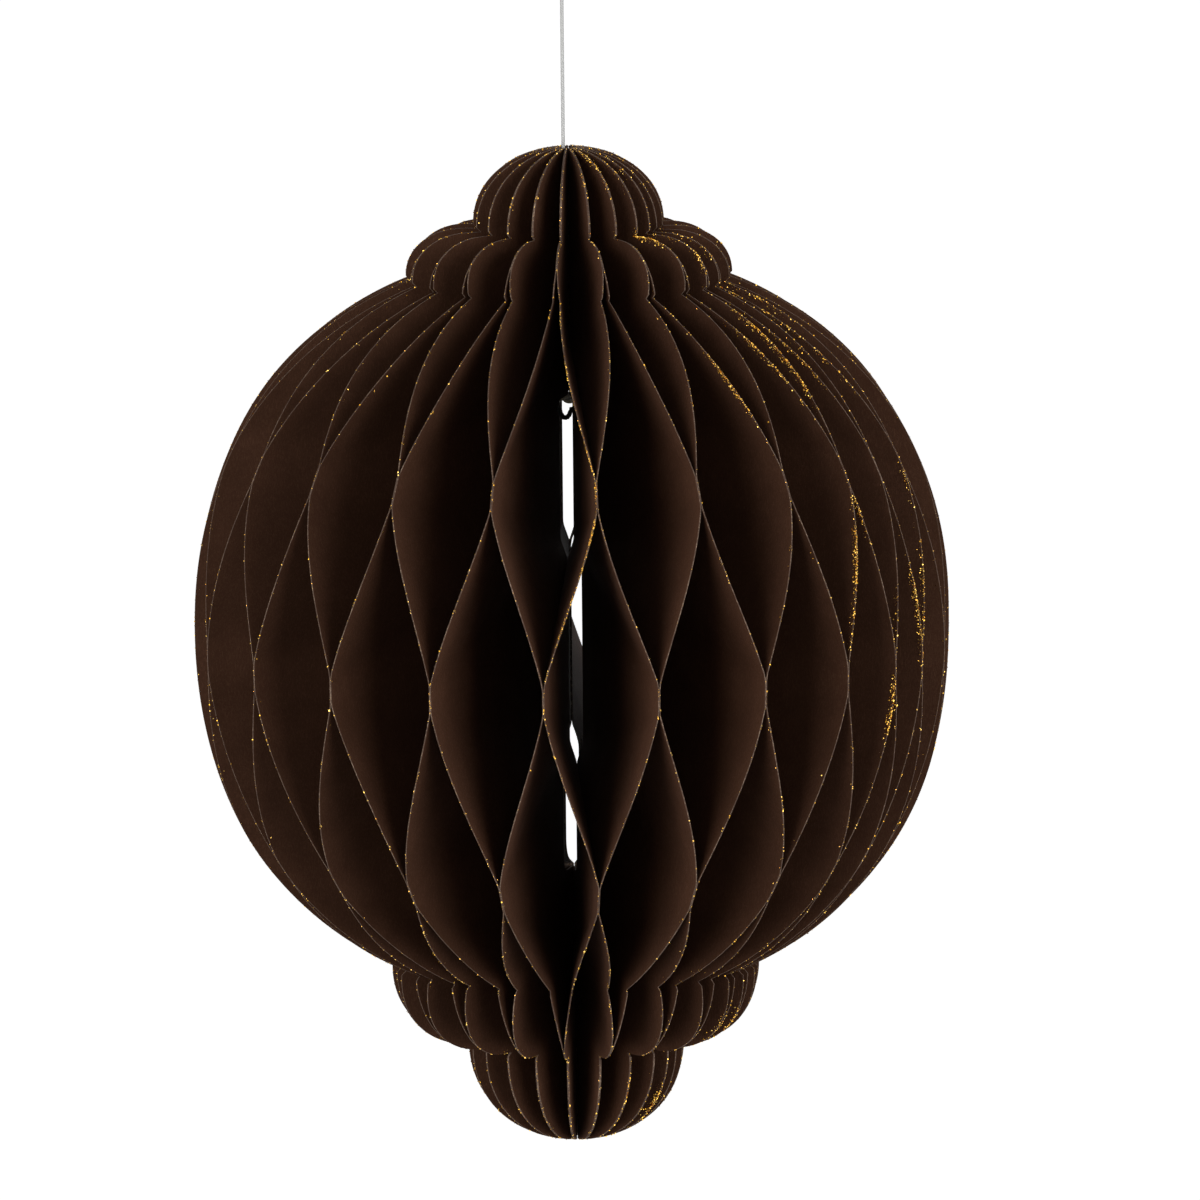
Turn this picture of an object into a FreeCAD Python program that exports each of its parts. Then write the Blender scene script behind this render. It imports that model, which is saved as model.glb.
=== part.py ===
import FreeCAD, Part
import math
import os
from FreeCAD import Placement, Rotation, Vector

# Hanging paper ball. Card leaves of one outline stand on end around a hollow core.
# Each leaf swings from one neighbour to the other and back, and is glued to them by turns
# at five rows, so the ball opens into cells. A thread ties the leaves round the core, and a
# cord hangs the ball from a loop. The origin is where the loop bears on its hook, +Z is up,
# and a depth is a distance below the ball's top.

DRIVING_SIZES = [
    ("leaf_count", 44, "leaves round the ball, an even number"),
    ("card", 0.3, "thickness of the card"),
    ("top_dome_radius", 28.4, "widest radius of the top dome"),
    ("top_dome_height", 23.0, "top of the ball to the dome's widest ring"),
    ("upper_tier_radius", 48.6, "widest radius of the tier under the top dome"),
    ("upper_tier_height", 14.0, "height of that tier's curve"),
    ("upper_tier_root", 31.0, "radius where that tier's curve starts"),
    ("body_radius", 112.6, "widest radius of the ball"),
    ("body_half_height", 111.8, "half height of the body's curve before it is cut off"),
    ("body_power", 2.23, "fullness of the body's curve, 2 for an ellipse"),
    ("lower_tier_radius", 54.9, "widest radius of the tier under the body"),
    ("lower_tier_height", 22.4, "height of that tier's curve"),
    ("lower_tier_root", 34.0, "radius where that tier's curve ends"),
    ("bottom_dome_radius", 32.2, "widest radius of the bottom dome"),
    ("bottom_dome_height", 29.4, "that dome's widest ring to the ball's foot"),
    ("lobe_power", 2.1, "fullness of the domes and tiers"),
    ("undercut", 1.3, "how far each notch goes in and down beside a widest ring"),
    ("middle_row_drop", 4.6, "body's middle to the middle glue row"),
    ("upper_row_gap", 59.4, "from the body's first glue row to its middle one"),
    ("lower_row_gap", 62.4, "from the body's middle glue row to its last one"),
    ("row_height", 8.4, "height of a glue row at the rim"),
    ("bend_softness", 0.2, "bend at the glue rows: 0 for an even slope between, 1 for an S"),
    ("top_row_rise", 9.6, "end of the dome's glue row above the notch under the tier"),
    ("bottom_row_rise", 4.3, "start of the lowest glue row above the bottom notch"),
    ("hollow_radius", 15.0, "radius of the hollow core"),
    ("hollow_top_rise", 15.0, "hollow's top above the first body row"),
    ("hollow_foot_drop", 6.0, "hollow's foot below the last body row"),
    ("hollow_corner", 5.0, "rounded corner at the hollow's foot"),
    ("spine_clearance", 0.4, "from the tight stack of leaves to their inner edges"),
    ("first_glue_turn", -94.4, "direction of the first glued pair, in degrees"),
    ("squeeze", 0.5, "how much narrower the leaves stand where the ball was closed"),
    ("squeeze_place", 8.5, "leaf at the middle of that narrow stretch"),
    ("squeeze_spread", 2.95, "leaves from the middle of the stretch to its flank"),
    ("thread_thickness", 1.1, "thickness of the binding thread"),
    ("thread_hole_clearance", 0.25, "room round the thread in its hole"),
    ("thread_inset", 2.2, "hole's middle from the hollow's wall and top"),
    ("thread_sag", 2.8, "how far the thread hangs between two open leaves"),
    ("thread_straight", 0.5, "thread's straight stretch outside each leaf"),
    ("cord_thickness", 1.1, "thickness of the hanging cord"),
    ("cord_offset", 1.4, "ball's axis to the right of the cord"),
    ("cord_above", 48.0, "ball's top to the loop's knot"),
    ("cord_knot_radius", 3.5, "radius of the knot inside the ball"),
    ("cord_knot_height", 3.0, "height of that knot"),
    ("loop_knot_radius", 2.2, "radius of the loop's knot"),
    ("loop_knot_height", 3.6, "height of that knot"),
    ("knot_bevel", 0.8, "bevelled edges of both knots"),
    ("loop_radius", 6.0, "radius of the loop's round top, at the cord's middle"),
    ("loop_rise", 17.0, "loop's knot to the middle of its round top"),
]

# Depths and heights that follow from the driving sizes, from the ball's top down.
DERIVED_SIZES = [
    ("notch_1", "top_dome_height + undercut", "notch under the top dome"),
    ("upper_tier_ring", "notch_1 + upper_tier_height", "widest ring of the upper tier"),
    ("notch_2", "upper_tier_ring + undercut", "notch under the upper tier"),
    (
        "body_ring",
        "notch_2 + body_half_height * (1 - ((upper_tier_radius - undercut) / body_radius)"
        " ^ body_power) ^ (1 / body_power)",
        "widest ring of the body",
    ),
    (
        "notch_3",
        "body_ring + body_half_height * (1 - ((lower_tier_radius - undercut) / body_radius)"
        " ^ body_power) ^ (1 / body_power)",
        "notch under the body",
    ),
    ("lower_tier_ring", "notch_3 + undercut", "widest ring of the lower tier"),
    ("notch_4", "lower_tier_ring + lower_tier_height", "notch above the bottom dome"),
    ("bottom_dome_ring", "notch_4 + undercut", "widest ring of the bottom dome"),
    ("ball_foot", "bottom_dome_ring + bottom_dome_height", "lowest point of the ball"),
    ("first_row", "body_ring + middle_row_drop - upper_row_gap", "first glue row of the body"),
    ("last_row", "body_ring + middle_row_drop + lower_row_gap", "last glue row of the body"),
    ("hollow_top", "first_row - hollow_top_rise", "top of the hollow core"),
    ("hollow_foot", "last_row + hollow_foot_drop", "foot of the hollow core"),
    ("loop_knot_top", "cord_thickness / 2 - loop_radius - loop_rise", "top of the loop's knot"),
    ("ball_top", "loop_knot_top - loop_knot_height - cord_above", "height of the ball's top"),
]

# How finely the curves are cut into chords. A leaf is folded, so its faces stay flat.
FOLDS = 3
DOME_CHORDS = 4
TIER_CHORDS = 3
CORNER_CHORDS = 2
THREAD_SIDES = 6
LOOP_SIDES = 8
SAG_POINTS = 2

# Card left round the outline before a leaf is cut from its folded sheet.
SHEET_MARGIN = 5.0

doc = FreeCAD.newDocument("paper_ball")
sheet = doc.addObject("Spreadsheet::Sheet", "Sizes")
for row, (alias, value, meaning) in enumerate(DRIVING_SIZES, start=1):
    sheet.set(f"A{row}", meaning)
    sheet.set(f"B{row}", str(value))
    sheet.setAlias(f"B{row}", alias)
for row, (alias, formula, meaning) in enumerate(DERIVED_SIZES, start=len(DRIVING_SIZES) + 1):
    sheet.set(f"A{row}", meaning)
    sheet.set(f"B{row}", f"={formula}")
    sheet.setAlias(f"B{row}", alias)
    doc.recompute()
doc.recompute()


def size(alias):
    return float(sheet.get(alias))


LEAF_COUNT = int(size("leaf_count"))
CARD = size("card")
UNDERCUT = size("undercut")
LOBE_POWER = size("lobe_power")
HALF_ROW = size("row_height") / 2
BEND_SOFTNESS = size("bend_softness")

# Leaves that stand tight round a circle of this radius touch each other.
STACK_RADIUS = CARD / (2 * math.sin(math.pi / LEAF_COUNT))
SPINE_RADIUS = STACK_RADIUS + size("spine_clearance")

BALL_TOP = size("ball_top")


def rounded_radius(offset, root, widest, height, power):
    """Radius of a rounded lobe at a vertical distance from its widest ring."""
    share = min(abs(offset) / height, 1.0)
    return root + (widest - root) * (1 - share**power) ** (1 / power)


def rounded_offset(radius, root, widest, height, power):
    """Vertical distance from a lobe's widest ring to where it has this radius."""
    share = (radius - root) / (widest - root)
    return height * (1 - share**power) ** (1 / power)


TOP_DOME_RING = size("top_dome_height")
UPPER_TIER_RING = size("upper_tier_ring")
NOTCH_2 = size("notch_2")
BODY_RING = size("body_ring")
NOTCH_3 = size("notch_3")
LOWER_TIER_RING = size("lower_tier_ring")
NOTCH_4 = size("notch_4")
BOTTOM_DOME_RING = size("bottom_dome_ring")
BALL_FOOT = size("ball_foot")
HOLLOW_TOP = size("hollow_top")
HOLLOW_FOOT = size("hollow_foot")

# Glue rows as pairs of depths at the rim. The first and the last run over a whole dome.
MIDDLE_ROW = BODY_RING + size("middle_row_drop")
BODY_ROWS = [size("first_row"), MIDDLE_ROW, size("last_row")]
GLUE_ROWS = [(0.0, NOTCH_2 - size("top_row_rise"))]
GLUE_ROWS += [(depth - HALF_ROW, depth + HALF_ROW) for depth in BODY_ROWS]
GLUE_ROWS += [(NOTCH_4 - size("bottom_row_rise"), BALL_FOOT)]

# Where the binding thread goes through a leaf.
THREAD_RADIUS = size("hollow_radius") + size("thread_inset")
THREAD_DEPTH = HOLLOW_TOP + size("thread_inset")


def swing_stations():
    """Depths at the rim and swings of the folds between each two glue rows.

    The swing is 0 on the row above and 1 on the row below. Between them it runs evenly,
    mixed with a little of an S curve where the card bends softly at its rows.
    """
    stations = []
    for (_, start), (end, _) in zip(GLUE_ROWS, GLUE_ROWS[1:]):
        between = []
        for fold in range(FOLDS + 1):
            share = fold / FOLDS
            eased = share * share * (3 - 2 * share)
            swing = share + (eased - share) * BEND_SOFTNESS
            between.append((start + (end - start) * share, swing))
        stations.append(between)
    return stations


STATIONS = swing_stations()
CREASE_DEPTHS = [depth for between in STATIONS for depth, _ in between]


def lobe_depths(ring, height, chords, upward):
    """Depths of the chords of a dome or tier, at even turns of its curve."""
    depths = []
    for chord in range(chords + 1):
        turn = math.pi / 2 * chord / chords
        offset = height * math.sin(turn) ** (2 / LOBE_POWER)
        depths.append(ring - offset if upward else ring + offset)
    return depths


def lobe_points(ring, root, widest, height, chords, upward):
    """Outline points of a dome or tier, with one at each crease that meets it."""
    depths = lobe_depths(ring, height, chords, upward)
    low, high = min(depths), max(depths)
    depths += [depth for depth in CREASE_DEPTHS if low < depth < high]
    points = []
    for depth in sorted(set(depths)):
        radius = rounded_radius(depth - ring, root, widest, height, LOBE_POWER)
        points.append((radius, depth))
    return points


def outline_radius(depth):
    """Radius of the leaf's rim at a depth."""
    if depth < NOTCH_2:
        return rounded_radius(
            depth - UPPER_TIER_RING,
            size("upper_tier_root"),
            size("upper_tier_radius"),
            size("upper_tier_height"),
            LOBE_POWER,
        )
    if depth < NOTCH_3:
        return rounded_radius(
            depth - BODY_RING,
            0.0,
            size("body_radius"),
            size("body_half_height"),
            size("body_power"),
        )
    return rounded_radius(
        depth - LOWER_TIER_RING,
        size("lower_tier_root"),
        size("lower_tier_radius"),
        size("lower_tier_height"),
        LOBE_POWER,
    )


def body_depths():
    """Depths of the body's rim points: its creases, and one more at each shoulder."""
    depths = [depth for depth in CREASE_DEPTHS if NOTCH_2 < depth < NOTCH_3]
    top_shoulder = (depths[0] + depths[1]) / 2
    foot_shoulder = (depths[-1] + NOTCH_3) / 2
    return sorted(depths + [top_shoulder, foot_shoulder])


def rim_points():
    """Rim of a leaf from the top down: dome, tier, body, tier and dome."""
    points = lobe_points(
        TOP_DOME_RING, 0.0, size("top_dome_radius"), size("top_dome_height"), DOME_CHORDS, True
    )
    points.append((size("top_dome_radius") - UNDERCUT, size("notch_1")))
    points += lobe_points(
        UPPER_TIER_RING,
        size("upper_tier_root"),
        size("upper_tier_radius"),
        size("upper_tier_height"),
        TIER_CHORDS,
        True,
    )
    points.append((size("upper_tier_radius") - UNDERCUT, NOTCH_2))
    points += [(outline_radius(depth), depth) for depth in body_depths()]
    points.append((size("lower_tier_radius") - UNDERCUT, NOTCH_3))
    points += lobe_points(
        LOWER_TIER_RING,
        size("lower_tier_root"),
        size("lower_tier_radius"),
        size("lower_tier_height"),
        TIER_CHORDS,
        False,
    )
    points.append((size("bottom_dome_radius") - UNDERCUT, NOTCH_4))
    points += lobe_points(
        BOTTOM_DOME_RING,
        0.0,
        size("bottom_dome_radius"),
        size("bottom_dome_height"),
        DOME_CHORDS,
        False,
    )
    points = [point for point in points if point[0] > SPINE_RADIUS]
    top = rounded_offset(
        SPINE_RADIUS, 0.0, size("top_dome_radius"), size("top_dome_height"), LOBE_POWER
    )
    foot = rounded_offset(
        SPINE_RADIUS, 0.0, size("bottom_dome_radius"), size("bottom_dome_height"), LOBE_POWER
    )
    return (
        [(SPINE_RADIUS, TOP_DOME_RING - top)]
        + points
        + [(SPINE_RADIUS, BOTTOM_DOME_RING + foot)]
    )


def spine_points():
    """Inner edge of a leaf from the foot up, round the hollow core."""
    corner = size("hollow_corner")
    wall = size("hollow_radius")
    points = [(SPINE_RADIUS, HOLLOW_FOOT)]
    for chord in range(CORNER_CHORDS + 1):
        turn = math.pi / 2 * chord / CORNER_CHORDS
        points.append(
            (
                wall - corner + corner * math.sin(turn),
                HOLLOW_FOOT - corner + corner * math.cos(turn),
            )
        )
    points += [(wall, HOLLOW_TOP), (SPINE_RADIUS, HOLLOW_TOP)]
    return points


def leaf_face():
    """Flat face of the cut leaf, with the hole for the binding thread."""
    edge = [Vector(radius, 0, -depth) for radius, depth in rim_points() + spine_points()]
    outer = Part.makePolygon(edge + edge[:1])
    reach = size("thread_thickness") / 2 + size("thread_hole_clearance")
    corners = []
    for side in range(THREAD_SIDES):
        turn = 2 * math.pi * side / THREAD_SIDES
        corners.append(
            Vector(
                THREAD_RADIUS + reach * math.cos(turn),
                0,
                -THREAD_DEPTH + reach * math.sin(turn),
            )
        )
    hole = Part.makePolygon(corners + corners[:1])
    return Part.Face(outer).cut(Part.Face(hole)).Faces[0]


def leaf_stands():
    """Where each leaf stands: its direction, half angle, side step and line of no swing.

    The leaves are evenly stacked at the core. At the rim they spread, but less where the ball
    was closed. Two upright planes, shared with the neighbours, bound the space of each leaf.
    """
    widths = []
    for leaf in range(LEAF_COUNT):
        away = (leaf - size("squeeze_place")) / size("squeeze_spread")
        widths.append(1 - size("squeeze") * math.exp(-away * away))
    scale = 2 * math.pi / sum(widths)
    rim_turns = [math.radians(size("first_glue_turn"))]
    for width in widths:
        rim_turns.append(rim_turns[-1] + width * scale)
    pitch = 2 * math.pi / LEAF_COUNT
    core_turns = [rim_turns[0] + pitch * number for number in range(LEAF_COUNT + 1)]
    drift = sum(rim - core for rim, core in zip(rim_turns, core_turns)) / len(core_turns)
    planes = []
    for rim, core in zip(rim_turns, core_turns):
        inner = Vector(math.cos(core + drift), math.sin(core + drift), 0) * STACK_RADIUS
        outer = Vector(math.cos(rim), math.sin(rim), 0) * size("body_radius")
        run = outer - inner
        planes.append((inner, run, math.atan2(run.y, run.x)))
    stands = []
    for number in range(LEAF_COUNT):
        near, near_run, near_turn = planes[number]
        far, far_run, far_turn = planes[number + 1]
        spread = (far_turn - near_turn) % (2 * math.pi)
        turn = near_turn + spread / 2
        along = Vector(math.cos(turn), math.sin(turn), 0)
        across = Vector(-math.sin(turn), math.cos(turn), 0)
        reach = (far - near).cross(far_run).z / near_run.cross(far_run).z
        apex = near + near_run * reach
        still_line = apex.dot(along) + CARD / (2 * math.sin(spread / 2))
        stands.append((turn, spread / 2, apex.dot(across), still_line))
    return stands


def flat_solid(facets, lift):
    """Solid between two copies of joined flat facets, one lifted to each side."""
    faces = []
    edges = {}
    for facet in facets:
        front = [point + Vector(0, lift, 0) for point in facet]
        back = [point - Vector(0, lift, 0) for point in reversed(facet)]
        faces.append(Part.Face(Part.makePolygon(front + front[:1])))
        faces.append(Part.Face(Part.makePolygon(back + back[:1])))
        for start, end in zip(facet, facet[1:] + facet[:1]):
            key = frozenset((tuple(start), tuple(end)))
            if key in edges:
                del edges[key]
            else:
                edges[key] = (start, end)
    for start, end in edges.values():
        wall = [
            start - Vector(0, lift, 0),
            end - Vector(0, lift, 0),
            end + Vector(0, lift, 0),
            start + Vector(0, lift, 0),
        ]
        faces.append(Part.Face(Part.makePolygon(wall + wall[:1])))
    return Part.Solid(Part.Shell(faces))


def folded_sheet(number, half_angle, still_line):
    """Folded card before it is cut: flat behind each glue row, with folds between.

    The folds between two rows fan out from one point of the spine, so the card bends
    without stretching. On a glue row it lies against the plane it shares with a neighbour.
    """
    slope = math.tan(half_angle)

    def point(radius, depth, swing):
        return Vector(radius, swing * slope * (radius - still_line), -depth)

    side = -1 if number % 2 == 0 else 1
    top = -SHEET_MARGIN
    foot = BALL_FOOT + SHEET_MARGIN
    spine_start = point(still_line, top, side)
    rim_start = point(size("upper_tier_radius") + 2 * SHEET_MARGIN, top, side)
    facets = []
    for between in STATIONS:
        fan = (between[0][0] + between[-1][0]) / 2
        pivot = point(still_line, fan, 0)
        tips = []
        for depth, share in between:
            rim = outline_radius(depth)
            stretch = (rim + SHEET_MARGIN - still_line) / (rim - still_line)
            tips.append(
                point(rim + SHEET_MARGIN, fan + (depth - fan) * stretch, side * (1 - 2 * share))
            )
        facets.append([spine_start, rim_start, tips[0], pivot])
        for tip, next_tip in zip(tips, tips[1:]):
            facets.append([pivot, tip, next_tip])
        spine_start = pivot
        rim_start = tips[-1]
        side = -side
    rim_end = point(size("lower_tier_radius") + 2 * SHEET_MARGIN, foot, side)
    facets.append([spine_start, rim_start, rim_end, point(still_line, foot, side)])
    return flat_solid(facets, CARD / (2 * math.cos(half_angle)))


def tube_along(points, spokes, radius, sides):
    """Closed ring of straight tube runs, mitred where they meet."""
    rings = []
    count = len(points)
    for number, (place, spoke) in enumerate(zip(points, spokes)):
        before = (place - points[number - 1]).normalize()
        after = (points[(number + 1) % count] - place).normalize()
        along = (before + after).normalize()
        side = along.cross(spoke).normalize()
        half_turn = before.getAngle(after) / 2
        ring = []
        for step in range(sides):
            turn = 2 * math.pi * step / sides
            ring.append(
                place
                + spoke * (radius * math.cos(turn))
                + side * (radius * math.sin(turn) / math.cos(half_turn))
            )
        rings.append(ring)
    faces = []
    for ring, next_ring in zip(rings, rings[1:] + rings[:1]):
        for step in range(sides):
            follow = (step + 1) % sides
            for corners in (
                [ring[step], ring[follow], next_ring[follow]],
                [ring[step], next_ring[follow], next_ring[step]],
            ):
                faces.append(Part.Face(Part.makePolygon(corners + corners[:1])))
    return Part.Solid(Part.Shell(faces))


def thread_route(stands):
    """Points of the binding thread through the leaves, sagging in each open gap."""
    entries = []
    for number, (turn, half_angle, side_step, still_line) in enumerate(stands):
        swing = 1 if number % 2 == 0 else -1
        along = Vector(math.cos(turn), math.sin(turn), 0)
        across = Vector(-math.sin(turn), math.cos(turn), 0)
        sideways = side_step + swing * math.tan(half_angle) * (THREAD_RADIUS - still_line)
        outside = size("thread_straight") + CARD / 2
        place = along * THREAD_RADIUS + across * (sideways - swing * outside)
        entries.append(place - Vector(0, 0, THREAD_DEPTH))
    points = []
    for number in range(0, LEAF_COUNT, 2):
        start = entries[number + 1]
        end = entries[(number + 2) % LEAF_COUNT]
        points += [entries[number], start]
        for step in range(SAG_POINTS):
            share = (step + 1) / (SAG_POINTS + 1)
            drop = Vector(0, 0, size("thread_sag"))
            points.append(start + (end - start) * share - drop)
    spokes = [Vector(point.x, point.y, 0).normalize() for point in points]
    return points, spokes


def plain_feature(name, shape):
    item = doc.addObject("Part::Feature", name)
    item.Shape = shape
    return item


def build_leaves(stands):
    """One cut blank for all leaves, and for each leaf its own folded sheet."""
    outline = plain_feature("leaf_outline", leaf_face())
    blank = doc.addObject("Part::Extrusion", "leaf_blank")
    blank.Base = outline
    blank.DirMode = "Custom"
    blank.Dir = Vector(0, 1, 0)
    blank.Solid = True
    blank.setExpression("LengthFwd", "Sizes.body_radius / 4")
    blank.setExpression("LengthRev", "Sizes.body_radius / 4")
    leaves = []
    for number, (turn, half_angle, side_step, still_line) in enumerate(stands):
        sheet_shape = folded_sheet(number, half_angle, still_line)
        folded = plain_feature(f"folded_sheet_{number + 1:02d}", sheet_shape)
        leaf = doc.addObject("Part::Common", f"leaf_{number + 1:02d}")
        leaf.Base = blank
        leaf.Tool = folded
        across = Vector(-math.sin(turn), math.cos(turn), 0) * side_step
        place = Vector(size("cord_offset"), 0, BALL_TOP) + across
        leaf.Placement = Placement(place, Rotation(Vector(0, 0, 1), math.degrees(turn)))
        leaves.append(leaf)
    return leaves


def build_thread(stands):
    points, spokes = thread_route(stands)
    radius = size("thread_thickness") / 2
    thread = plain_feature("binding_thread", tube_along(points, spokes, radius, THREAD_SIDES))
    thread.Placement = Placement(Vector(size("cord_offset"), 0, BALL_TOP), Rotation())
    return thread


def build_cord():
    """Straight cord, pulled tight by the ball's weight, from knot to knot."""
    cord = doc.addObject("Part::Cylinder", "hanging_cord")
    cord.setExpression("Radius", "Sizes.cord_thickness / 2")
    cord.setExpression("Height", "Sizes.hollow_top + Sizes.cord_above")
    cord.setExpression("Placement.Base.z", "Sizes.ball_top - Sizes.hollow_top")
    return cord


def build_knot(name, foot):
    """Knot with flat ends for the cord and bevelled edges; its sizes start with its name."""
    body = doc.addObject("PartDesign::Body", name)
    core = body.newObject("PartDesign::AdditiveCylinder", f"{name}_core")
    core.setExpression("Radius", f"Sizes.{name}_radius")
    core.setExpression("Height", f"Sizes.{name}_height")
    doc.recompute()
    bevel = body.newObject("PartDesign::Chamfer", f"{name}_bevel")
    rims = [
        f"Edge{number}"
        for number, edge in enumerate(core.Shape.Edges, start=1)
        if edge.isClosed()
    ]
    bevel.Base = (core, rims)
    bevel.setExpression("Size", "Sizes.knot_bevel")
    body.Tip = bevel
    body.setExpression("Placement.Base.z", foot)
    return body


def build_loop():
    """Loop of cord: two straight sides that leave the knot and a round top."""
    radius = size("loop_radius")
    half_cord = size("cord_thickness") / 2
    centre = Vector(0, 0, size("loop_knot_top") + size("loop_rise"))
    start = Vector(-half_cord, 0, size("loop_knot_top"))
    to_start = start - centre
    touch_turn = math.atan2(to_start.z, to_start.x) - math.acos(radius / to_start.Length)
    touch = centre + Vector(math.cos(touch_turn), 0, math.sin(touch_turn)) * radius
    lean = (touch - start).getAngle(Vector(0, 0, 1))
    start = start + (touch - start).normalize() * (half_cord * math.tan(lean))
    far_touch = Vector(-touch.x, 0, touch.z)
    end = Vector(-start.x, 0, start.z)
    crown = centre + Vector(0, 0, radius)
    path = Part.Wire(
        [
            Part.LineSegment(start, touch).toShape(),
            Part.Arc(touch, crown, far_touch).toShape(),
            Part.LineSegment(far_touch, end).toShape(),
        ]
    )
    outward = (touch - start).normalize().cross(Vector(0, 1, 0))
    corners = []
    for side in range(LOOP_SIDES):
        turn = 2 * math.pi * (side + 0.5) / LOOP_SIDES
        spoke = outward * math.cos(turn) + Vector(0, 1, 0) * math.sin(turn)
        corners.append(start + spoke * half_cord)
    section = Part.makePolygon(corners + corners[:1])
    return plain_feature("hanging_loop", path.makePipeShell([section], True, False))


stands = leaf_stands()
pieces = build_leaves(stands)
pieces.append(build_thread(stands))
pieces.append(
    build_knot("cord_knot", "Sizes.ball_top - Sizes.hollow_top - Sizes.cord_knot_height")
)
pieces.append(build_cord())
pieces.append(build_knot("loop_knot", "Sizes.loop_knot_top - Sizes.loop_knot_height"))
pieces.append(build_loop())
doc.recompute()

for item in doc.Objects:
    if "Invalid" in item.State or "Error" in item.State:
        raise RuntimeError(f"{item.Name} did not build: {item.State}")
for piece in pieces:
    if piece.Shape.isNull() or not piece.Shape.isValid():
        raise RuntimeError(f"{piece.Name} has no valid shape")
    if len(piece.Shape.Solids) != 1:
        raise RuntimeError(f"{piece.Name} has {len(piece.Shape.Solids)} solids")

os.makedirs("parts", exist_ok=True)
for piece in pieces:
    piece.Label = piece.Name
    piece.Shape.exportStep(f"parts/{piece.Label}.step")
print(f"{len(pieces)} pieces, {BALL_FOOT:.1f} mm from top to foot")
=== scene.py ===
"""Looks of a hanging ball of glued card leaves, laid out as an add-on and run as a script."""

import math

import bpy
import numpy as np
from bpy.props import FloatProperty, FloatVectorProperty, IntProperty, PointerProperty
from bpy.types import Operator, Panel, PropertyGroup
from mathutils import Matrix, Vector


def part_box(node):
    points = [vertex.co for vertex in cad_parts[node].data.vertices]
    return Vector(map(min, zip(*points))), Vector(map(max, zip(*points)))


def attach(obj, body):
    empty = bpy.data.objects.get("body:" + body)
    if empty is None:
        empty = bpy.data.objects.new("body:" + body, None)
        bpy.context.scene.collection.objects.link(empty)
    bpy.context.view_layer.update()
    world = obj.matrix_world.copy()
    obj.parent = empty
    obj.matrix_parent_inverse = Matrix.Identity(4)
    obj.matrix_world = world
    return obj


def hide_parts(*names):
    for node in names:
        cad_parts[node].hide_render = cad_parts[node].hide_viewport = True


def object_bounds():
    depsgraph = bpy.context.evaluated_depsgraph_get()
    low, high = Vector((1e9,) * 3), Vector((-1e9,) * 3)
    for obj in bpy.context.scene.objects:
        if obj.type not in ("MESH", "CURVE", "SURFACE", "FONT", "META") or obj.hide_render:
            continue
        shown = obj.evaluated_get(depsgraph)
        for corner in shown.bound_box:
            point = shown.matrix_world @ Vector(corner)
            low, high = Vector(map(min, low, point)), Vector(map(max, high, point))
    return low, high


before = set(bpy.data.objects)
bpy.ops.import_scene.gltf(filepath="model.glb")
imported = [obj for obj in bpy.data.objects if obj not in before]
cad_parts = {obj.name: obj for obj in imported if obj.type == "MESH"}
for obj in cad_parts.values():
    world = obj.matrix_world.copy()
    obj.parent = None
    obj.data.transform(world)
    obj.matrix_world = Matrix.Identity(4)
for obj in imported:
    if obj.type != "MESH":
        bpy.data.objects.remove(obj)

bl_info = {
    "name": "Hanging Card Ball",
    "version": (1, 0, 0),
    "blender": (4, 5, 0),
    "location": "3D View > Sidebar > Card Ball",
    "description": "Builds the card leaves, glitter, thread, cord and stage of a hanging ball",
    "category": "Add Mesh",
}

CAD_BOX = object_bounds()
LEAF_NODES = sorted(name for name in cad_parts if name.startswith("leaf_"))
CORD_FOOT, CORD_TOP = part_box("hanging_cord")
INNER_KNOT_FOOT, INNER_KNOT_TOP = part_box("cord_knot")
LOOP_KNOT_FOOT, LOOP_KNOT_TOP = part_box("loop_knot")
LOOP_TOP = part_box("hanging_loop")[1]

# The photograph's frame: its width, where the ball's top is in it, and its scale.
PHOTO_WIDTH_PX = 1200
BALL_TOP_PX = (568.0, 148.4)
PHOTO_PX_PER_METRE = 3350.0

MM = 0.001
SEED = 20

# Rows of a leaf's grid along each stretch of its rim, and its columns from spine to rim.
DOME_ROWS = 30
TIER_ROWS = 26
BODY_ROWS = 210
HOLE_COLUMN = 1
LEAF_COLUMNS = np.array(
    [0.0, 0.02, 0.035, 0.13, 0.26, 0.4, 0.54, 0.68, 0.81, 0.91, 0.975, 1.0]
)
FAN_RAYS = 240

# Rows round the hollow's corner, and how the inner edge eases into its corners, in metres.
CORNER_ROWS = 6
INNER_STEP = 0.002
INNER_EASE = 0.005

# Worn line along a cut edge: its raggedness and width in metres, and its share of the colour.
WEAR_RAGGED = 0.00025
WEAR_WIDTH = 0.00012
WEAR_SHARE = 0.3

# Fibres for each metre, and their relief in metres.
FACE_FIBRES = 2200.0
EDGE_FIBRES = 3000.0
FACE_RELIEF = 0.00003
EDGE_RELIEF = 0.00005

# Glitter: the strength at which each place tried gets a flake, what a patch adds, the strength
# from which a place is in a patch, how clumps vary, and how thin and crooked a flake may be.
FLAKE_FULL_STRENGTH = 32.0
PATCH_GAIN = 3.0
PATCH_STRENGTH = 2.5
CLUMP_LEAST = 0.35
CLUMP_RANGE = 1.3
CLUMP_SWING = 0.8
CLUMP_WAVES = (410, 173)
CLUMP_SHIFT = 2.4
FLAKE_THINNESS = 0.14
FLAKE_CROOKED = 0.6

# Share of the flakes on a face, in a patch and elsewhere, how many spills they reach, how far
# from the card's middle they are for half its thickness, on a face and at most on a cut edge,
# and how proud of that edge, in metres.
PATCH_FACE_SHARE = 0.7
FACE_SHARE = 0.4
SPILL_REACHES = 2.5
FACE_LIFT = 1.3
EDGE_LIFT = 0.9
EDGE_PROUD = 0.00008

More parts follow.
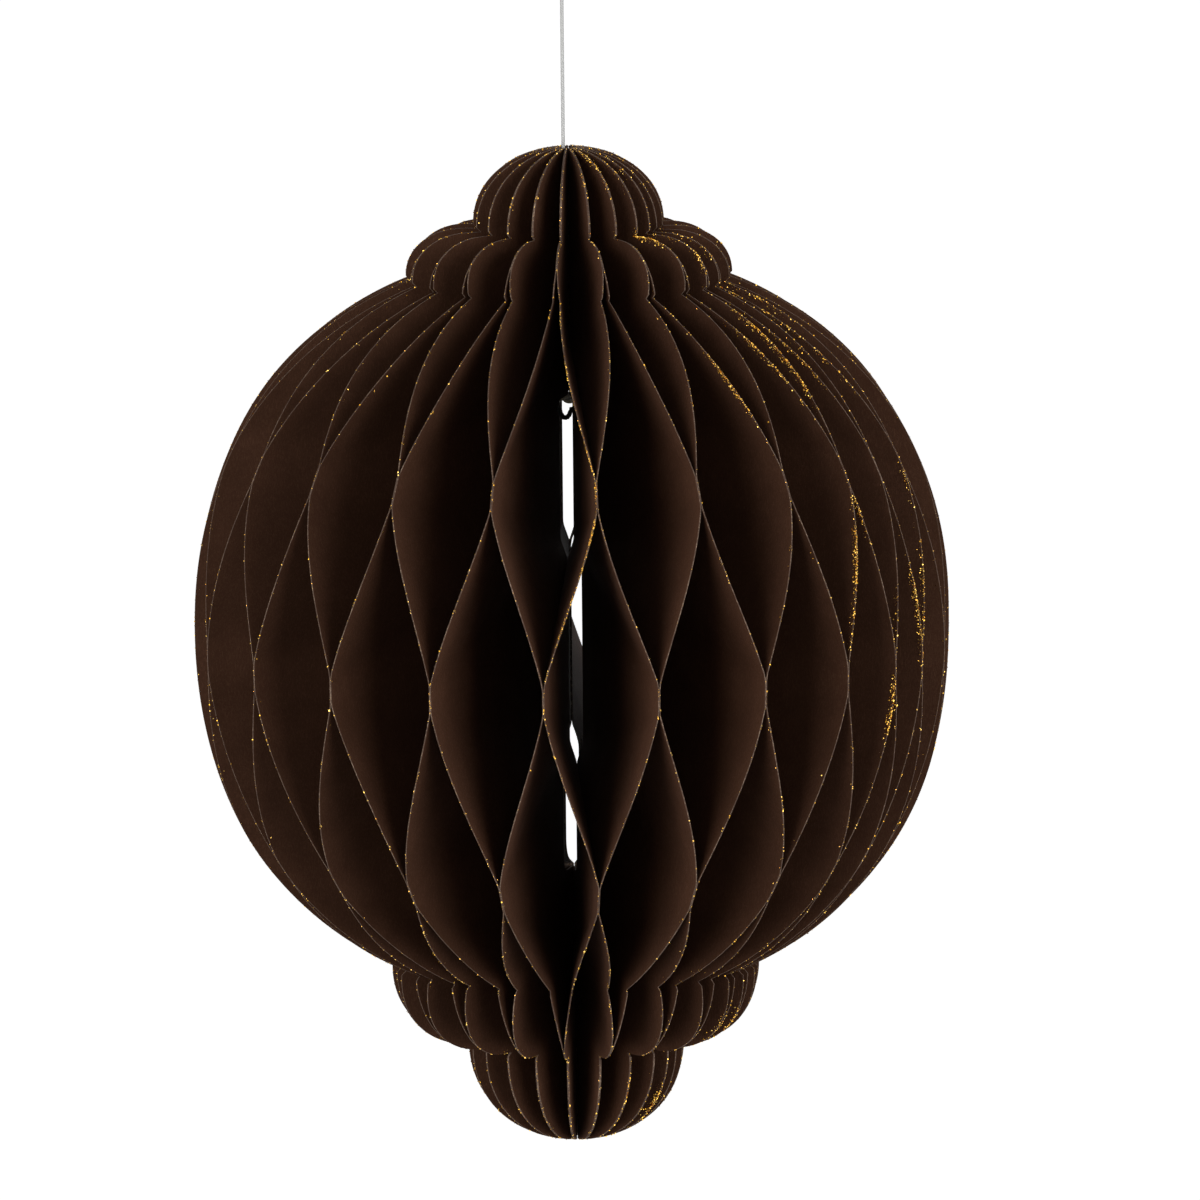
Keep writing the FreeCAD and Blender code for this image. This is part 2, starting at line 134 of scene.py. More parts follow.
# Twisted strands of the binding thread, the power of its sag's curve, and its path's points.
THREAD_STRANDS = 3
THREAD_TWISTS = 66
THREAD_SIDES = 7
SAG_POWER = 2.6
SAG_POINTS = 17
THROUGH_POINTS = 5

# Points along the inner knot, the wound knot, their straight strands and the loop, and the sides
# of their tubes. The wound knot has its turns, the share that tucks in at each end, and the
# share of its radius where the tucked end starts.
INNER_KNOT_POINTS = 180
WOUND_KNOT_POINTS = 150
STRAND_POINTS = 24
ARC_POINTS = 56
RISE_POINTS = 20
INNER_KNOT_SIDES = 10
WOUND_KNOT_SIDES = 12
LOOP_SIDES = 14
KNOT_TURNS = 2.4
KNOT_TUCK = 0.07
KNOT_INNER = 0.45
STRAND_INSET = 0.00002

# Lamps: name, place from the middle in metres, width in metres, and the setting of its power.
LAMPS = (
    ("left_softbox", (-1.3, -1.15, 0.05), 1.9, "side_light"),
    ("right_softbox", (1.35, -1.1, 0.05), 1.9, "side_light"),
    ("front_softbox", (0.2, -1.9, 1.0), 1.2, "front_light"),
    ("back_softbox", (0.1, 2.0, 0.9), 2.0, "back_light"),
)

# Floor: its glow where it is seen directly, its grey and its half width in metres.
FLOOR_GLOW = 0.95
FLOOR_GREY = 0.85
FLOOR_HALF_WIDTH = 60.0

# Places where more glitter stuck, each as the direction to the right of the front in degrees,
# the depth below the ball's top in mm, how far it spreads in both, and its strength.
GLITTER_PATCHES = [
    ("top dome", 35, 5, 22, 5, 3),
    ("under the top dome", 45, 24, 5, 2, 11),
    ("upper tier, right", 60, 30, 14, 5, 3),
    ("shoulder beside the tier", 72, 44, 5, 4, 9),
    ("right shoulder, highest", 70, 51, 4, 4, 8),
    ("right shoulder, inner", 37, 62, 4, 7, 9),
    ("right shoulder, middle", 53, 57, 4, 8, 11),
    ("right shoulder, second", 61, 57, 3, 7, 10),
    ("right shoulder, outer", 70, 62, 3, 5, 10),
    ("front pair of leaves", 3, 100, 4, 38, 3),
    ("right flank, inner", 48, 113, 3, 10, 11),
    ("right flank, beside it", 55, 101, 3, 6, 5),
    ("right flank, high", 69, 99, 3, 6, 8),
    ("right flank, middle", 68, 130, 3, 14, 12),
    ("right flank, second", 63, 134, 3, 11, 8),
    ("right flank, inner low", 48, 131, 3, 4, 9),
    ("right flank, low", 57, 159, 3, 7, 12),
    ("lower tier", 61, 262, 8, 4, 6),
    ("bottom dome, outer", 58, 287, 7, 4, 8),
    ("bottom dome, inner", 37, 282, 6, 5, 6),
]


def length_property(label, default, description):
    """Length in metres, at least zero."""
    return FloatProperty(
        name=label, description=description, default=default, min=0.0, precision=5, unit="LENGTH"
    )


def colour_property(label, default, description):
    """Linear colour."""
    return FloatVectorProperty(
        name=label, description=description, default=default, size=3, min=0.0, max=1.0,
        subtype="COLOR",
    )


def share_property(label, default, description, high=1.0):
    """Plain number from 0 up."""
    return FloatProperty(
        name=label, description=description, default=default, min=0.0, max=high, precision=3
    )


class BallOutline(PropertyGroup):
    """Outline that every leaf is cut to."""

    top_dome_radius: length_property("Top dome radius", 0.0284, "Widest radius of the top dome")
    top_dome_height: length_property("Top dome height", 0.023, "Ball's top to the widest ring")
    upper_tier_radius: length_property("Upper tier radius", 0.0486, "Widest radius of that tier")
    upper_tier_height: length_property("Upper tier height", 0.014, "Height of its curve")
    upper_tier_root: length_property("Upper tier root", 0.031, "Radius where its curve starts")
    body_radius: length_property("Body radius", 0.1126, "Widest radius of the ball")
    body_half_height: length_property("Body half height", 0.1118, "Half height of its curve")
    body_power: share_property("Body fullness", 2.23, "Power of its curve, 2 for an ellipse", 4.0)
    lower_tier_radius: length_property("Lower tier radius", 0.0549, "Widest radius of that tier")
    lower_tier_height: length_property("Lower tier height", 0.0224, "Height of its curve")
    lower_tier_root: length_property("Lower tier root", 0.034, "Radius where its curve ends")
    bottom_dome_radius: length_property("Bottom dome radius", 0.0322, "Widest radius of it")
    bottom_dome_height: length_property("Bottom dome height", 0.0294, "Widest ring to the foot")
    lobe_power: share_property("Lobe fullness", 2.1, "Power of the domes' and tiers' curves", 4.0)
    undercut: length_property("Undercut", 0.0013, "How far each notch goes in and down")
    hollow_radius: length_property("Hollow radius", 0.015, "Radius of the hollow core")
    hollow_top_rise: length_property("Hollow rise", 0.015, "Hollow's top above the first row")
    hollow_foot_drop: length_property("Hollow drop", 0.006, "Hollow's foot below the last row")
    hollow_corner: length_property("Hollow corner", 0.005, "Rounded corner at its foot")


class LeafFold(PropertyGroup):
    """How the leaves stand and where they are glued."""

    card: length_property("Card", 0.0003, "Thickness of the card")
    spine_clearance: length_property("Spine clearance", 0.0004, "Tight stack to inner edges")
    middle_row_drop: length_property("Middle row drop", 0.0046, "Body's middle to middle row")
    upper_row_gap: length_property("Upper row gap", 0.0594, "First glue row to the middle one")
    lower_row_gap: length_property("Lower row gap", 0.0624, "Middle glue row to the last one")
    row_height: length_property("Row height", 0.0084, "Height of a glue row at the rim")
    bend_softness: share_property("Bend softness", 0.2, "0 for an even slope, 1 for an S curve")
    top_row_rise: length_property("Top row rise", 0.0096, "Dome row's end above the notch")
    bottom_row_rise: length_property("Bottom row rise", 0.0043, "Last row's start above a notch")
    first_glue_turn: FloatProperty(
        name="First glued pair", description="Direction of the first glued pair",
        default=math.radians(-94.4), subtype="ANGLE",
    )
    squeeze: share_property("Squeeze", 0.5, "How much narrower the leaves stand at the closing")
    squeeze_place: share_property("Squeeze place", 8.5, "Leaf in the middle of it", 44.0)
    squeeze_spread: share_property("Squeeze spread", 2.95, "Leaves from its middle to its flank", 22.0)
    unevenness: share_property("Unevenness", 0.22, "How much the bends differ between the rows")
    ball_offset: length_property("Ball offset", 0.0014, "Ball's axis to the right of the cord")


class CardFinish(PropertyGroup):
    """Colours of the card and how the glitter lies on it."""

    card_dark: colour_property("Card, dark", (0.0355, 0.0148, 0.0076), "Dark fibres of the card")
    card_light: colour_property("Card, light", (0.066, 0.029, 0.0158), "Light fibres of the card")
    edge_dark: colour_property("Cut edge, dark", (0.055, 0.033, 0.024), "Dyed parts of cut edges")
    edge_light: colour_property("Cut edge, light", (0.23, 0.162, 0.115), "Pale core of cut edges")
    gold_pale: colour_property("Gold, pale", (1.0, 0.66, 0.16), "Palest flakes")
    gold_deep: colour_property("Gold, deep", (0.7, 0.34, 0.015), "Deepest flakes")
    flake_tries: IntProperty(
        name="Flake tries", description="Places tried for a flake of glitter",
        default=400000, min=0, max=800000,
    )
    flake_base: share_property("Flake base", 1.0, "Strength away from every patch")
    flake_small: length_property("Smallest flake", 0.00011, "Half width of the smallest flakes")
    flake_large: length_property("Largest flake", 0.0003, "Half width of the largest flakes")
    flake_spill: length_property("Spill", 0.0005, "How far glitter strays from the cut edge")
    patch_spill: length_property("Patch spill", 0.00055, "How far it strays in a patch")


class CordFinish(PropertyGroup):
    """Thicknesses and colours of the cord and the binding thread."""

    cord_thickness: length_property("Cord", 0.0011, "Thickness of the hanging cord")
    cord_colour: colour_property("Cord colour", (0.44, 0.44, 0.43), "Light grey yarn")
    # Painted shade in the grooves between the cord's strands
    cord_shade: colour_property("Cord shade", (0.25, 0.25, 0.25), "Between its strands")
    thread_thickness: length_property("Thread", 0.0016, "Thickness of the binding thread")
    thread_inset: length_property("Thread inset", 0.0022, "Hole from the hollow's wall and top")
    thread_hole_clearance: length_property("Hole clearance", 0.0001, "Room round the thread")
    thread_sag: length_property("Thread sag", 0.0026, "How far it hangs between two leaves")
    thread_straight: length_property("Thread straight", 0.0005, "Straight stretch at a leaf")
    thread_colour: colour_property("Thread colour", (0.05, 0.045, 0.042), "Dark yarn")
    # Painted shade: the inner knot is the same grey cord as the loop, coloured dark brown for the shade it
    # sits in deep in the hollow
    shaded_knot_colour: colour_property("Inner knot colour", (0.075, 0.055, 0.025), "Dark brown yarn")
    # Painted shade in the grooves between the thread's strands
    thread_shade: colour_property("Thread shade", (0.012, 0.011, 0.01), "Between its strands")


class StageSettings(PropertyGroup):
    """Camera, lights and floor."""

    camera_distance: length_property("Camera distance", 6.0, "Camera to the ball's middle")
    camera_elevation: FloatProperty(
        name="Camera elevation", description="Angle above the horizon",
        default=math.radians(9.5), subtype="ANGLE",
    )
    camera_roll: FloatProperty(
        name="Camera roll", description="Tilt of the picture about its middle",
        default=math.radians(0.55), subtype="ANGLE",
    )
    floor_drop: length_property("Floor drop", 3.0, "Loop to the floor of the room")
    room_light: share_property("Room light", 0.11, "Strength of the light from all sides", 4.0)
    side_light: share_property("Side light", 47.0, "Power of each large side lamp, in watts", 500.0)
    front_light: share_property("Front light", 1.0, "Power of the front lamp, in watts", 500.0)
    back_light: share_property("Back light", 12.0, "Power of the lamp behind, in watts", 500.0)


class CardBallSettings(PropertyGroup):
    """All settings of the card ball."""

    outline: PointerProperty(type=BallOutline)
    fold: PointerProperty(type=LeafFold)
    card: PointerProperty(type=CardFinish)
    cord: PointerProperty(type=CordFinish)
    stage: PointerProperty(type=StageSettings)


class BallForm:
    """Depths below the ball's top and curves that follow from the sizes, in metres."""

    def __init__(self, settings):
        self.outline = outline = settings.outline
        self.fold = fold = settings.fold
        self.cord = settings.cord
        self.leaf_count = len(LEAF_NODES)
        self.notch_1 = outline.top_dome_height + outline.undercut
        self.upper_tier_ring = self.notch_1 + outline.upper_tier_height
        self.notch_2 = self.upper_tier_ring + outline.undercut
        self.upper_drop = self.body_drop(outline.upper_tier_radius - outline.undercut)
        self.lower_drop = self.body_drop(outline.lower_tier_radius - outline.undercut)
        self.body_ring = self.notch_2 + self.upper_drop
        self.notch_3 = self.body_ring + self.lower_drop
        self.lower_tier_ring = self.notch_3 + outline.undercut
        self.notch_4 = self.lower_tier_ring + outline.lower_tier_height
        self.bottom_dome_ring = self.notch_4 + outline.undercut
        self.foot = self.bottom_dome_ring + outline.bottom_dome_height
        middle_row = self.body_ring + fold.middle_row_drop
        half_row = fold.row_height / 2
        body_rows = [
            middle_row - fold.upper_row_gap, middle_row, middle_row + fold.lower_row_gap
        ]
        row_ends = [self.notch_2 - fold.top_row_rise] + [row + half_row for row in body_rows]
        row_starts = [row - half_row for row in body_rows]
        row_starts.append(self.notch_4 - fold.bottom_row_rise)
        self.bends = list(zip(row_ends, row_starts))
        self.hollow_top = body_rows[0] - outline.hollow_top_rise
        self.hollow_foot = body_rows[-1] + outline.hollow_foot_drop
        self.stack_radius = fold.card / (2 * math.sin(math.pi / self.leaf_count))
        self.spine_radius = self.stack_radius + fold.spine_clearance
        self.thread_radius = outline.hollow_radius + settings.cord.thread_inset
        self.thread_depth = self.hollow_top + settings.cord.thread_inset
        self.top = CORD_FOOT.z + self.hollow_top
        self.stand_leaves()
        draws = np.random.default_rng(SEED)
        self.leans = fold.unevenness * draws.uniform(-1, 1, (self.leaf_count, len(self.bends)))

    def body_drop(self, radius):
        """Distance from the body's widest ring to where its curve has this radius."""
        power = self.outline.body_power
        share = radius / self.outline.body_radius
        return self.outline.body_half_height * (1 - share**power) ** (1 / power)

    def stand_leaves(self):
        """Direction, half angle, side step and still line of each leaf, as arrays.

        In plan, places are complex numbers. The leaves are evenly stacked at the core. At the
        rim each takes a share of 1 less a bell curve about the place where the ball was
        closed. Two planes bound each leaf, and they meet at an apex.
        """
        fold = self.fold
        away = (np.arange(self.leaf_count) - fold.squeeze_place) / fold.squeeze_spread
        widths = 1 - fold.squeeze * np.exp(-away * away)
        turns = np.concatenate([[0.0], np.cumsum(widths)]) * (2 * np.pi / widths.sum())
        rim = fold.first_glue_turn + turns
        core = fold.first_glue_turn + np.linspace(0, 2 * np.pi, self.leaf_count + 1)
        core = core + (rim - core).mean()
        inner = self.stack_radius * np.exp(1j * core)
        run = self.outline.body_radius * np.exp(1j * rim) - inner
        heading = np.angle(run)
        spread = (heading[1:] - heading[:-1]) % (2 * np.pi)
        self.turns = heading[:-1] + spread / 2
        self.half_angles = spread / 2
        gap_cross = (np.conj(inner[1:] - inner[:-1]) * run[1:]).imag
        run_cross = (np.conj(run[:-1]) * run[1:]).imag
        apex = (inner[:-1] + run[:-1] * gap_cross / run_cross) * np.exp(-1j * self.turns)
        self.still_lines = apex.real + fold.card / (2 * np.sin(self.half_angles))
        self.side_steps = apex.imag

    def rim_radius(self, depth):
        """Radius of the tiers and the body at each depth, without the domes."""
        outline = self.outline
        tier_1 = rounded_radius(
            depth - self.upper_tier_ring, outline.upper_tier_root, outline.upper_tier_radius,
            outline.upper_tier_height, outline.lobe_power,
        )
        body = rounded_radius(
            depth - self.body_ring, 0.0, outline.body_radius, outline.body_half_height,
            outline.body_power,
        )
        tier_2 = rounded_radius(
            depth - self.lower_tier_ring, outline.lower_tier_root, outline.lower_tier_radius,
            outline.lower_tier_height, outline.lobe_power,
        )
        return np.where(depth < self.notch_2, tier_1, np.where(depth < self.notch_3, body, tier_2))

    def rim_line(self):
        """Rim from the ball's top to its foot, as arrays of radii and depths."""
        outline = self.outline
        power, body_power = outline.lobe_power, outline.body_power
        half_height = outline.body_half_height
        top, foot = outline.top_dome_radius, outline.bottom_dome_radius
        above = np.arcsin((self.upper_drop / half_height) ** (body_power / 2))
        below = np.arcsin((self.lower_drop / half_height) ** (body_power / 2))
        start = np.arccos((self.spine_radius / top) ** (power / 2))
        end = np.arccos((self.spine_radius / foot) ** (power / 2))
        stretches = (
            (outline.top_dome_height, 0, top, outline.top_dome_height, power,
             np.linspace(-start, 0, DOME_ROWS)),
            (self.upper_tier_ring, outline.upper_tier_root, outline.upper_tier_radius,
             outline.upper_tier_height, power, np.linspace(-np.pi / 2, 0, TIER_ROWS)),
            (self.body_ring, 0, outline.body_radius, half_height, body_power,
             np.linspace(-above, below, BODY_ROWS)),
            (self.lower_tier_ring, outline.lower_tier_root, outline.lower_tier_radius,
             outline.lower_tier_height, power, np.linspace(0, np.pi / 2, TIER_ROWS)),
            (self.bottom_dome_ring, 0, foot, outline.bottom_dome_height, power,
             np.linspace(0, end, DOME_ROWS)),
        )
        radii, depths = [], []
        for ring, *curve in stretches:
            radius, drop = lobe(*curve)
            radii.append(radius)
            depths.append(ring + drop)
        radii.insert(1, [top - outline.undercut])
        depths.insert(1, [self.notch_1])
        radii.insert(-1, [foot - outline.undercut])
        depths.insert(-1, [self.notch_4])
        return np.concatenate(radii), np.concatenate(depths)

    def inner_line(self, rim_depths):
        """Inner edge's place across from each place of the rim, as radii and depths.

        The edge runs down the spine, out along the hollow's top, down its wall, round the
        corner at its foot, in again and down to the ball's foot.
        """
        spine = self.spine_radius
        wall = self.outline.hollow_radius
        corner = self.outline.hollow_corner
        step_in, ease = INNER_STEP, INNER_EASE
        bend = np.linspace(0, np.pi / 2, CORNER_ROWS)
        knots_rim = [rim_depths[0], self.hollow_top - ease, self.hollow_top]
        knots_radius = [spine, spine, wall]
        knots_depth = [rim_depths[0] + step_in, self.hollow_top, self.hollow_top]
        knots_rim += list(self.hollow_foot - corner + corner * np.sin(bend))
        knots_radius += list(wall - corner + corner * np.cos(bend))
        knots_depth += list(self.hollow_foot - corner + corner * np.sin(bend))
        knots_rim += [self.hollow_foot + ease, rim_depths[-1]]
        knots_radius += [spine, spine]
        knots_depth += [self.hollow_foot, rim_depths[-1] - step_in]
        along = rim_depths + np.linspace(0, MM / 100, len(rim_depths))
        return np.interp(along, knots_rim, knots_radius), np.interp(along, knots_rim, knots_depth)

    def swing(self, leaf, radius, depth):
        """Swing of a leaf between its neighbours, from -1 to 1, at places of its flat cut.

        The ray from a fan's point on the still line through a place meets the rim at a share
        of the way between two glue rows. The swing turns over evenly with that share, mixed
        with some of an S curve, 3 share squared less 2 share cubed. A lean moves the curve's
        middle up or down.
        """
        from_still = np.maximum(radius - self.still_lines[leaf], self.fold.card)
        total = np.ones_like(radius)
        shares = np.linspace(0, 1, FAN_RAYS)
        for bend, (start, end) in enumerate(self.bends):
            fan = (start + end) / 2
            rim_depth = start + (end - start) * shares
            rim_reach = self.rim_radius(rim_depth) - self.still_lines[leaf]
            share = np.interp((depth - fan) / from_still, (rim_depth - fan) / rim_reach, shares)
            share = share + self.leans[leaf, bend] * share * (1 - share)
            eased = share * share * (3 - 2 * share)
            total -= 2 * (-1) ** bend * (share + (eased - share) * self.fold.bend_softness)
        return total if leaf % 2 else -total

    def place(self, leaf, radius, depth, lift):
        """Points of a leaf: sideways they are the swing times the tangent of the half angle
        times the distance from the still line, and lift is -1 or 1 for its two faces."""
        half_angle = self.half_angles[leaf]
        sideways = self.swing(leaf, radius, depth) * np.tan(half_angle)
        sideways = sideways * (radius - self.still_lines[leaf]) + self.side_steps[leaf]
        sideways = sideways + lift * self.fold.card / (2 * np.cos(half_angle))
        cosine, sine = np.cos(self.turns[leaf]), np.sin(self.turns[leaf])
        east = self.fold.ball_offset + cosine * radius - sine * sideways
        north = sine * radius + cosine * sideways
        return np.stack([east, north, self.top - depth], axis=-1)


def rounded_radius(offset, root, widest, height, power):
    """Radius of a lobe at a distance from its widest ring: root plus the rest times
    (1 - share^power)^(1/power), where share is the distance over the height."""
    share = np.minimum(np.abs(offset) / height, 1.0)
    return root + (widest - root) * (1 - share**power) ** (1 / power)


def lobe(root, widest, height, power, angles):
    """Radii and drops of a lobe's curve: root plus the rest times cosine^(2/power), and the
    height times sine^(2/power) with the angle's sign."""
    cosine = np.clip(np.cos(angles), 0, 1)
    sine = np.sin(angles)
    radius = root + (widest - root) * cosine ** (2 / power)
    return radius, np.sign(sine) * height * np.abs(sine) ** (2 / power)


def unit(vectors):
    """Vectors divided by their lengths."""
    return vectors / np.linalg.norm(vectors, axis=-1, keepdims=True)


def make_mesh(name, points, faces, materials, face_materials=None, sharp_degrees=40):
    """New object with this mesh. Faces are arrays of corner numbers, one array per corner count."""
    mesh = bpy.data.meshes.new(name)
    mesh.vertices.add(len(points))
    mesh.vertices.foreach_set("co", np.ascontiguousarray(points, dtype=np.float32).ravel())
    corners = np.concatenate([np.asarray(part).ravel() for part in faces]).astype(np.int32)
    counts = np.concatenate([np.full(len(part), np.shape(part)[1]) for part in faces])
    starts = np.concatenate([[0], np.cumsum(counts)[:-1]]).astype(np.int32)
    mesh.loops.add(len(corners))
    mesh.loops.foreach_set("vertex_index", corners)
    mesh.polygons.add(len(counts))
    mesh.polygons.foreach_set("loop_start", starts)
    for material in materials:
        mesh.materials.append(material)
    if face_materials is not None:
        mesh.polygons.foreach_set("material_index", np.asarray(face_materials, dtype=np.int32))
    mesh.update(calc_edges=True)
    if mesh.validate():
        raise RuntimeError(f"{name}: the mesh had faults")
    mesh.polygons.foreach_set("use_smooth", np.ones(len(counts), dtype=bool))
    mesh.set_sharp_from_angle(angle=math.radians(sharp_degrees))
    made = bpy.data.objects.new(name, mesh)
    bpy.context.scene.collection.objects.link(made)
    return made


def corner_uv(made, values):
    """Gives a mesh its UV map from two values for each vertex."""
    mesh = made.data
    corners = np.empty(len(mesh.loops), dtype=np.int32)
    mesh.loops.foreach_get("vertex_index", corners)
    layer = mesh.uv_layers.new(name="UVMap")
    layer.data.foreach_set("uv", np.ascontiguousarray(values[corners], dtype=np.float32).ravel())


def grid_quads(rows, columns, around=False, along=False):
    """Corner numbers of a grid's quads. It may close around its columns and along its rows."""
    row = np.arange(rows if along else rows - 1)[:, None]
    column = np.arange(columns if around else columns - 1)[None, :]
    next_row = (row + 1) % rows
    next_column = (column + 1) % columns
    quads = [
        row * columns + column,
        row * columns + next_column,
        next_row * columns + next_column,
        next_row * columns + column,
    ]
    return np.stack(quads, axis=-1).reshape(-1, 4)


def tube_rings(path, spokes, radii, sides):
    """Rings of a round tube: path + radius (cosine spoke + sine side), with the side square
    to the path and the spoke. Radii may differ along the path."""
    ahead = np.gradient(path, axis=0)
    side = unit(np.cross(ahead, spokes))
    spoke = unit(np.cross(side, ahead))
    turns = np.linspace(0, 2 * np.pi, sides, endpoint=False)[None, :, None]
    reach = np.broadcast_to(radii, len(path))[:, None, None]
    return path[:, None] + reach * (np.cos(turns) * spoke[:, None] + np.sin(turns) * side[:, None])


def path_lengths(path):
    """Length along a path up to each of its points."""
    return np.concatenate([[0], np.cumsum(np.linalg.norm(np.diff(path, axis=0), axis=1))])


def round_ended(path, radius):
    """Radii along a path that close it with two half balls."""
    along = path_lengths(path)
    from_end = np.minimum(np.minimum(along, along[-1] - along) + 0.02 * radius, radius)
    return np.sqrt(radius * radius - (radius - from_end) ** 2)


def tube_parts(path, spokes, radius, sides, closed=False):
    """Points and faces of a tube, as a closed ring or with round ends and small end faces."""
    if closed:
        looped = np.concatenate([path[-1:], path, path[:1]])
        spoke_loop = np.concatenate([spokes[-1:], spokes, spokes[:1]])
        rings = tube_rings(looped, spoke_loop, radius, sides)[1:-1]
        return rings.reshape(-1, 3), [grid_quads(len(path), sides, around=True, along=True)]
    rings = tube_rings(path, spokes, round_ended(path, radius), sides)
    quads = grid_quads(len(path), sides, around=True)
    ends = np.array([np.arange(sides)[::-1], (len(path) - 1) * sides + np.arange(sides)])
    return rings.reshape(-1, 3), [quads, ends]


def join_parts(parts):
    """Several sets of points and faces as one, with corner numbers moved on."""
    points, faces, start = [], [], 0
    for part_points, part_faces in parts:
        points.append(part_points)
        faces += [face + start for face in part_faces]
        start += len(part_points)
    return np.concatenate(points), faces


def tube_object(name, parts, sides, material):
    """New object of tubes, with a UV map of turns around and metres along their middles."""
    points, faces = join_parts(parts)
    made = make_mesh(name, points, faces, [material])
    around = np.tile(np.arange(sides) / sides, len(points) // sides)
    lengths = path_lengths(points.reshape(-1, sides, 3).mean(axis=1))
    corner_uv(made, np.stack([around, np.repeat(lengths, sides)], axis=-1))
    return made


def add_node(tree, kind, values=None, **settings):
    """New shader node with its settings, and its inputs as values or links."""
    node = tree.nodes.new(kind)
    for name, value in settings.items():
        setattr(node, name, value)
    for name, value in (values or {}).items():
        if isinstance(value, bpy.types.NodeSocket):
            tree.links.new(value, node.inputs[name])
        else:
            node.inputs[name].default_value = value
    return node


def math_node(tree, operation, first, second=0.5):
    """Output of a math node of two numbers or links."""
    return add_node(tree, "ShaderNodeMath", {0: first, 1: second}, operation=operation).outputs[0]


def blend_colours(tree, share, first, second):
    """Output of a colour mix of two colours or links."""
    node = add_node(tree, "ShaderNodeMix", data_type="RGBA")
    tree.links.new(share, node.inputs["Factor"])
    for name, value in (("A", first), ("B", second)):
        socket = next(s for s in node.inputs if s.name == name and s.type == "RGBA")
        if isinstance(value, bpy.types.NodeSocket):
            tree.links.new(value, socket)
        else:
            socket.default_value = (*value, 1.0)
    return next(s for s in node.outputs if s.type == "RGBA")


def map_range(tree, value, low, high, new_low=0.0, new_high=1.0):
    """Output of a smooth step from one range to another."""
    values = {"Value": value, "From Min": low, "From Max": high, "To Min": new_low, "To Max": new_high}
    return add_node(tree, "ShaderNodeMapRange", values, interpolation_type="SMOOTHSTEP").outputs[0]


def new_group(name, inputs, outputs):
    """Empty shader node group with its sockets, and its input and output nodes."""
    tree = bpy.data.node_groups.new(name, "ShaderNodeTree")
    for label, kind, default in inputs:
        socket = tree.interface.new_socket(name=label, in_out="INPUT", socket_type=kind)
        if default is not None:
            socket.default_value = default
    for label, kind in outputs:
        tree.interface.new_socket(name=label, in_out="OUTPUT", socket_type=kind)
    return tree, tree.nodes.new("NodeGroupInput"), tree.nodes.new("NodeGroupOutput")


def fibre_group():
    """Node group for pulp fibres: soft clouds, fine grain and short crossing fibres."""
    found = bpy.data.node_groups.get("pulp_fibres")
    if found:
        return found
    tree, given, result = new_group(
        "pulp_fibres",
        [("Vector", "NodeSocketVector", None), ("Fibres per metre", "NodeSocketFloat", FACE_FIBRES)],
        [("Shade", "NodeSocketFloat"), ("Height", "NodeSocketFloat")],
    )
    fibres = given.outputs["Fibres per metre"]
    clouds = add_node(
        tree, "ShaderNodeTexNoise",
        {"Vector": given.outputs["Vector"], "Scale": 95.0, "Detail": 3.0, "Roughness": 0.55},
    ).outputs["Fac"]
    grain = add_node(
        tree, "ShaderNodeTexNoise",
        {"Vector": given.outputs["Vector"], "Scale": math_node(tree, "MULTIPLY", fibres, 1.5),
         "Detail": 4.0, "Roughness": 0.7},
    ).outputs["Fac"]
    strokes = []
    for turn in (25, 80, 145):
        turned = add_node(
            tree, "ShaderNodeMapping",
            {"Vector": given.outputs["Vector"], "Rotation": (math.radians(turn), math.radians(turn), 0),
             "Scale": (1.0, 1.0, 0.3)},
        ).outputs[0]
        strokes.append(add_node(
            tree, "ShaderNodeTexNoise",
            {"Vector": turned, "Scale": fibres, "Detail": 3.0, "Roughness": 0.6, "Distortion": 0.4},
        ).outputs["Fac"])
    crossing = math_node(tree, "MAXIMUM", strokes[0], strokes[1])
    crossing = math_node(tree, "MAXIMUM", crossing, strokes[2])
    crossing = map_range(tree, crossing, 0.5, 0.74)
    summed = math_node(tree, "MULTIPLY", clouds, 0.3)
    summed = math_node(tree, "ADD", summed, math_node(tree, "MULTIPLY", grain, 0.5))
    summed = math_node(tree, "ADD", summed, math_node(tree, "MULTIPLY", crossing, 0.2))
    tree.links.new(map_range(tree, summed, 0.25, 0.8), result.inputs["Shade"])
    height = math_node(tree, "ADD", math_node(tree, "MULTIPLY", crossing, 0.6), grain)
    tree.links.new(height, result.inputs["Height"])
    return tree


def twist_group():
    """Node group for twisted yarn: slanting stripes on a UV map of turns and strand lengths."""
    found = bpy.data.node_groups.get("twisted_yarn")
    if found:
        return found
    tree, given, result = new_group(
        "twisted_yarn",
        [("Around", "NodeSocketFloat", 0.0), ("Along", "NodeSocketFloat", 0.0),
         ("Strands", "NodeSocketFloat", 3.0), ("Pitch", "NodeSocketFloat", 0.003)],
        [("Ridge", "NodeSocketFloat"), ("Fuzz", "NodeSocketFloat")],
    )
    turns = math_node(tree, "DIVIDE", given.outputs["Along"], given.outputs["Pitch"])
    slant = math_node(tree, "ADD", given.outputs["Around"], turns)
    phase = math_node(tree, "FRACT", math_node(tree, "MULTIPLY", slant, given.outputs["Strands"]))
    ridge = math_node(tree, "SINE", math_node(tree, "MULTIPLY", phase, math.pi), 0.0)
    place = add_node(
        tree, "ShaderNodeCombineXYZ",
        {"X": math_node(tree, "MULTIPLY", slant, 9.0), "Y": math_node(tree, "MULTIPLY", turns, 1.6)},
    ).outputs[0]
    fuzz = add_node(
        tree, "ShaderNodeTexNoise", {"Vector": place, "Scale": 4.0, "Detail": 4.0}
    ).outputs["Fac"]
    tree.links.new(ridge, result.inputs["Ridge"])
    tree.links.new(fuzz, result.inputs["Fuzz"])
    return tree


def start_material(name, **shader_values):
    """New material with one Principled BSDF whose own sockets hold these values."""
    material = bpy.data.materials.new(name)
    material.use_nodes = True
    tree = material.node_tree
    shader = tree.nodes["Principled BSDF"]
    for socket, value in shader_values.items():
        shader.inputs[socket.replace("_", " ")].default_value = value
    return material, tree, shader


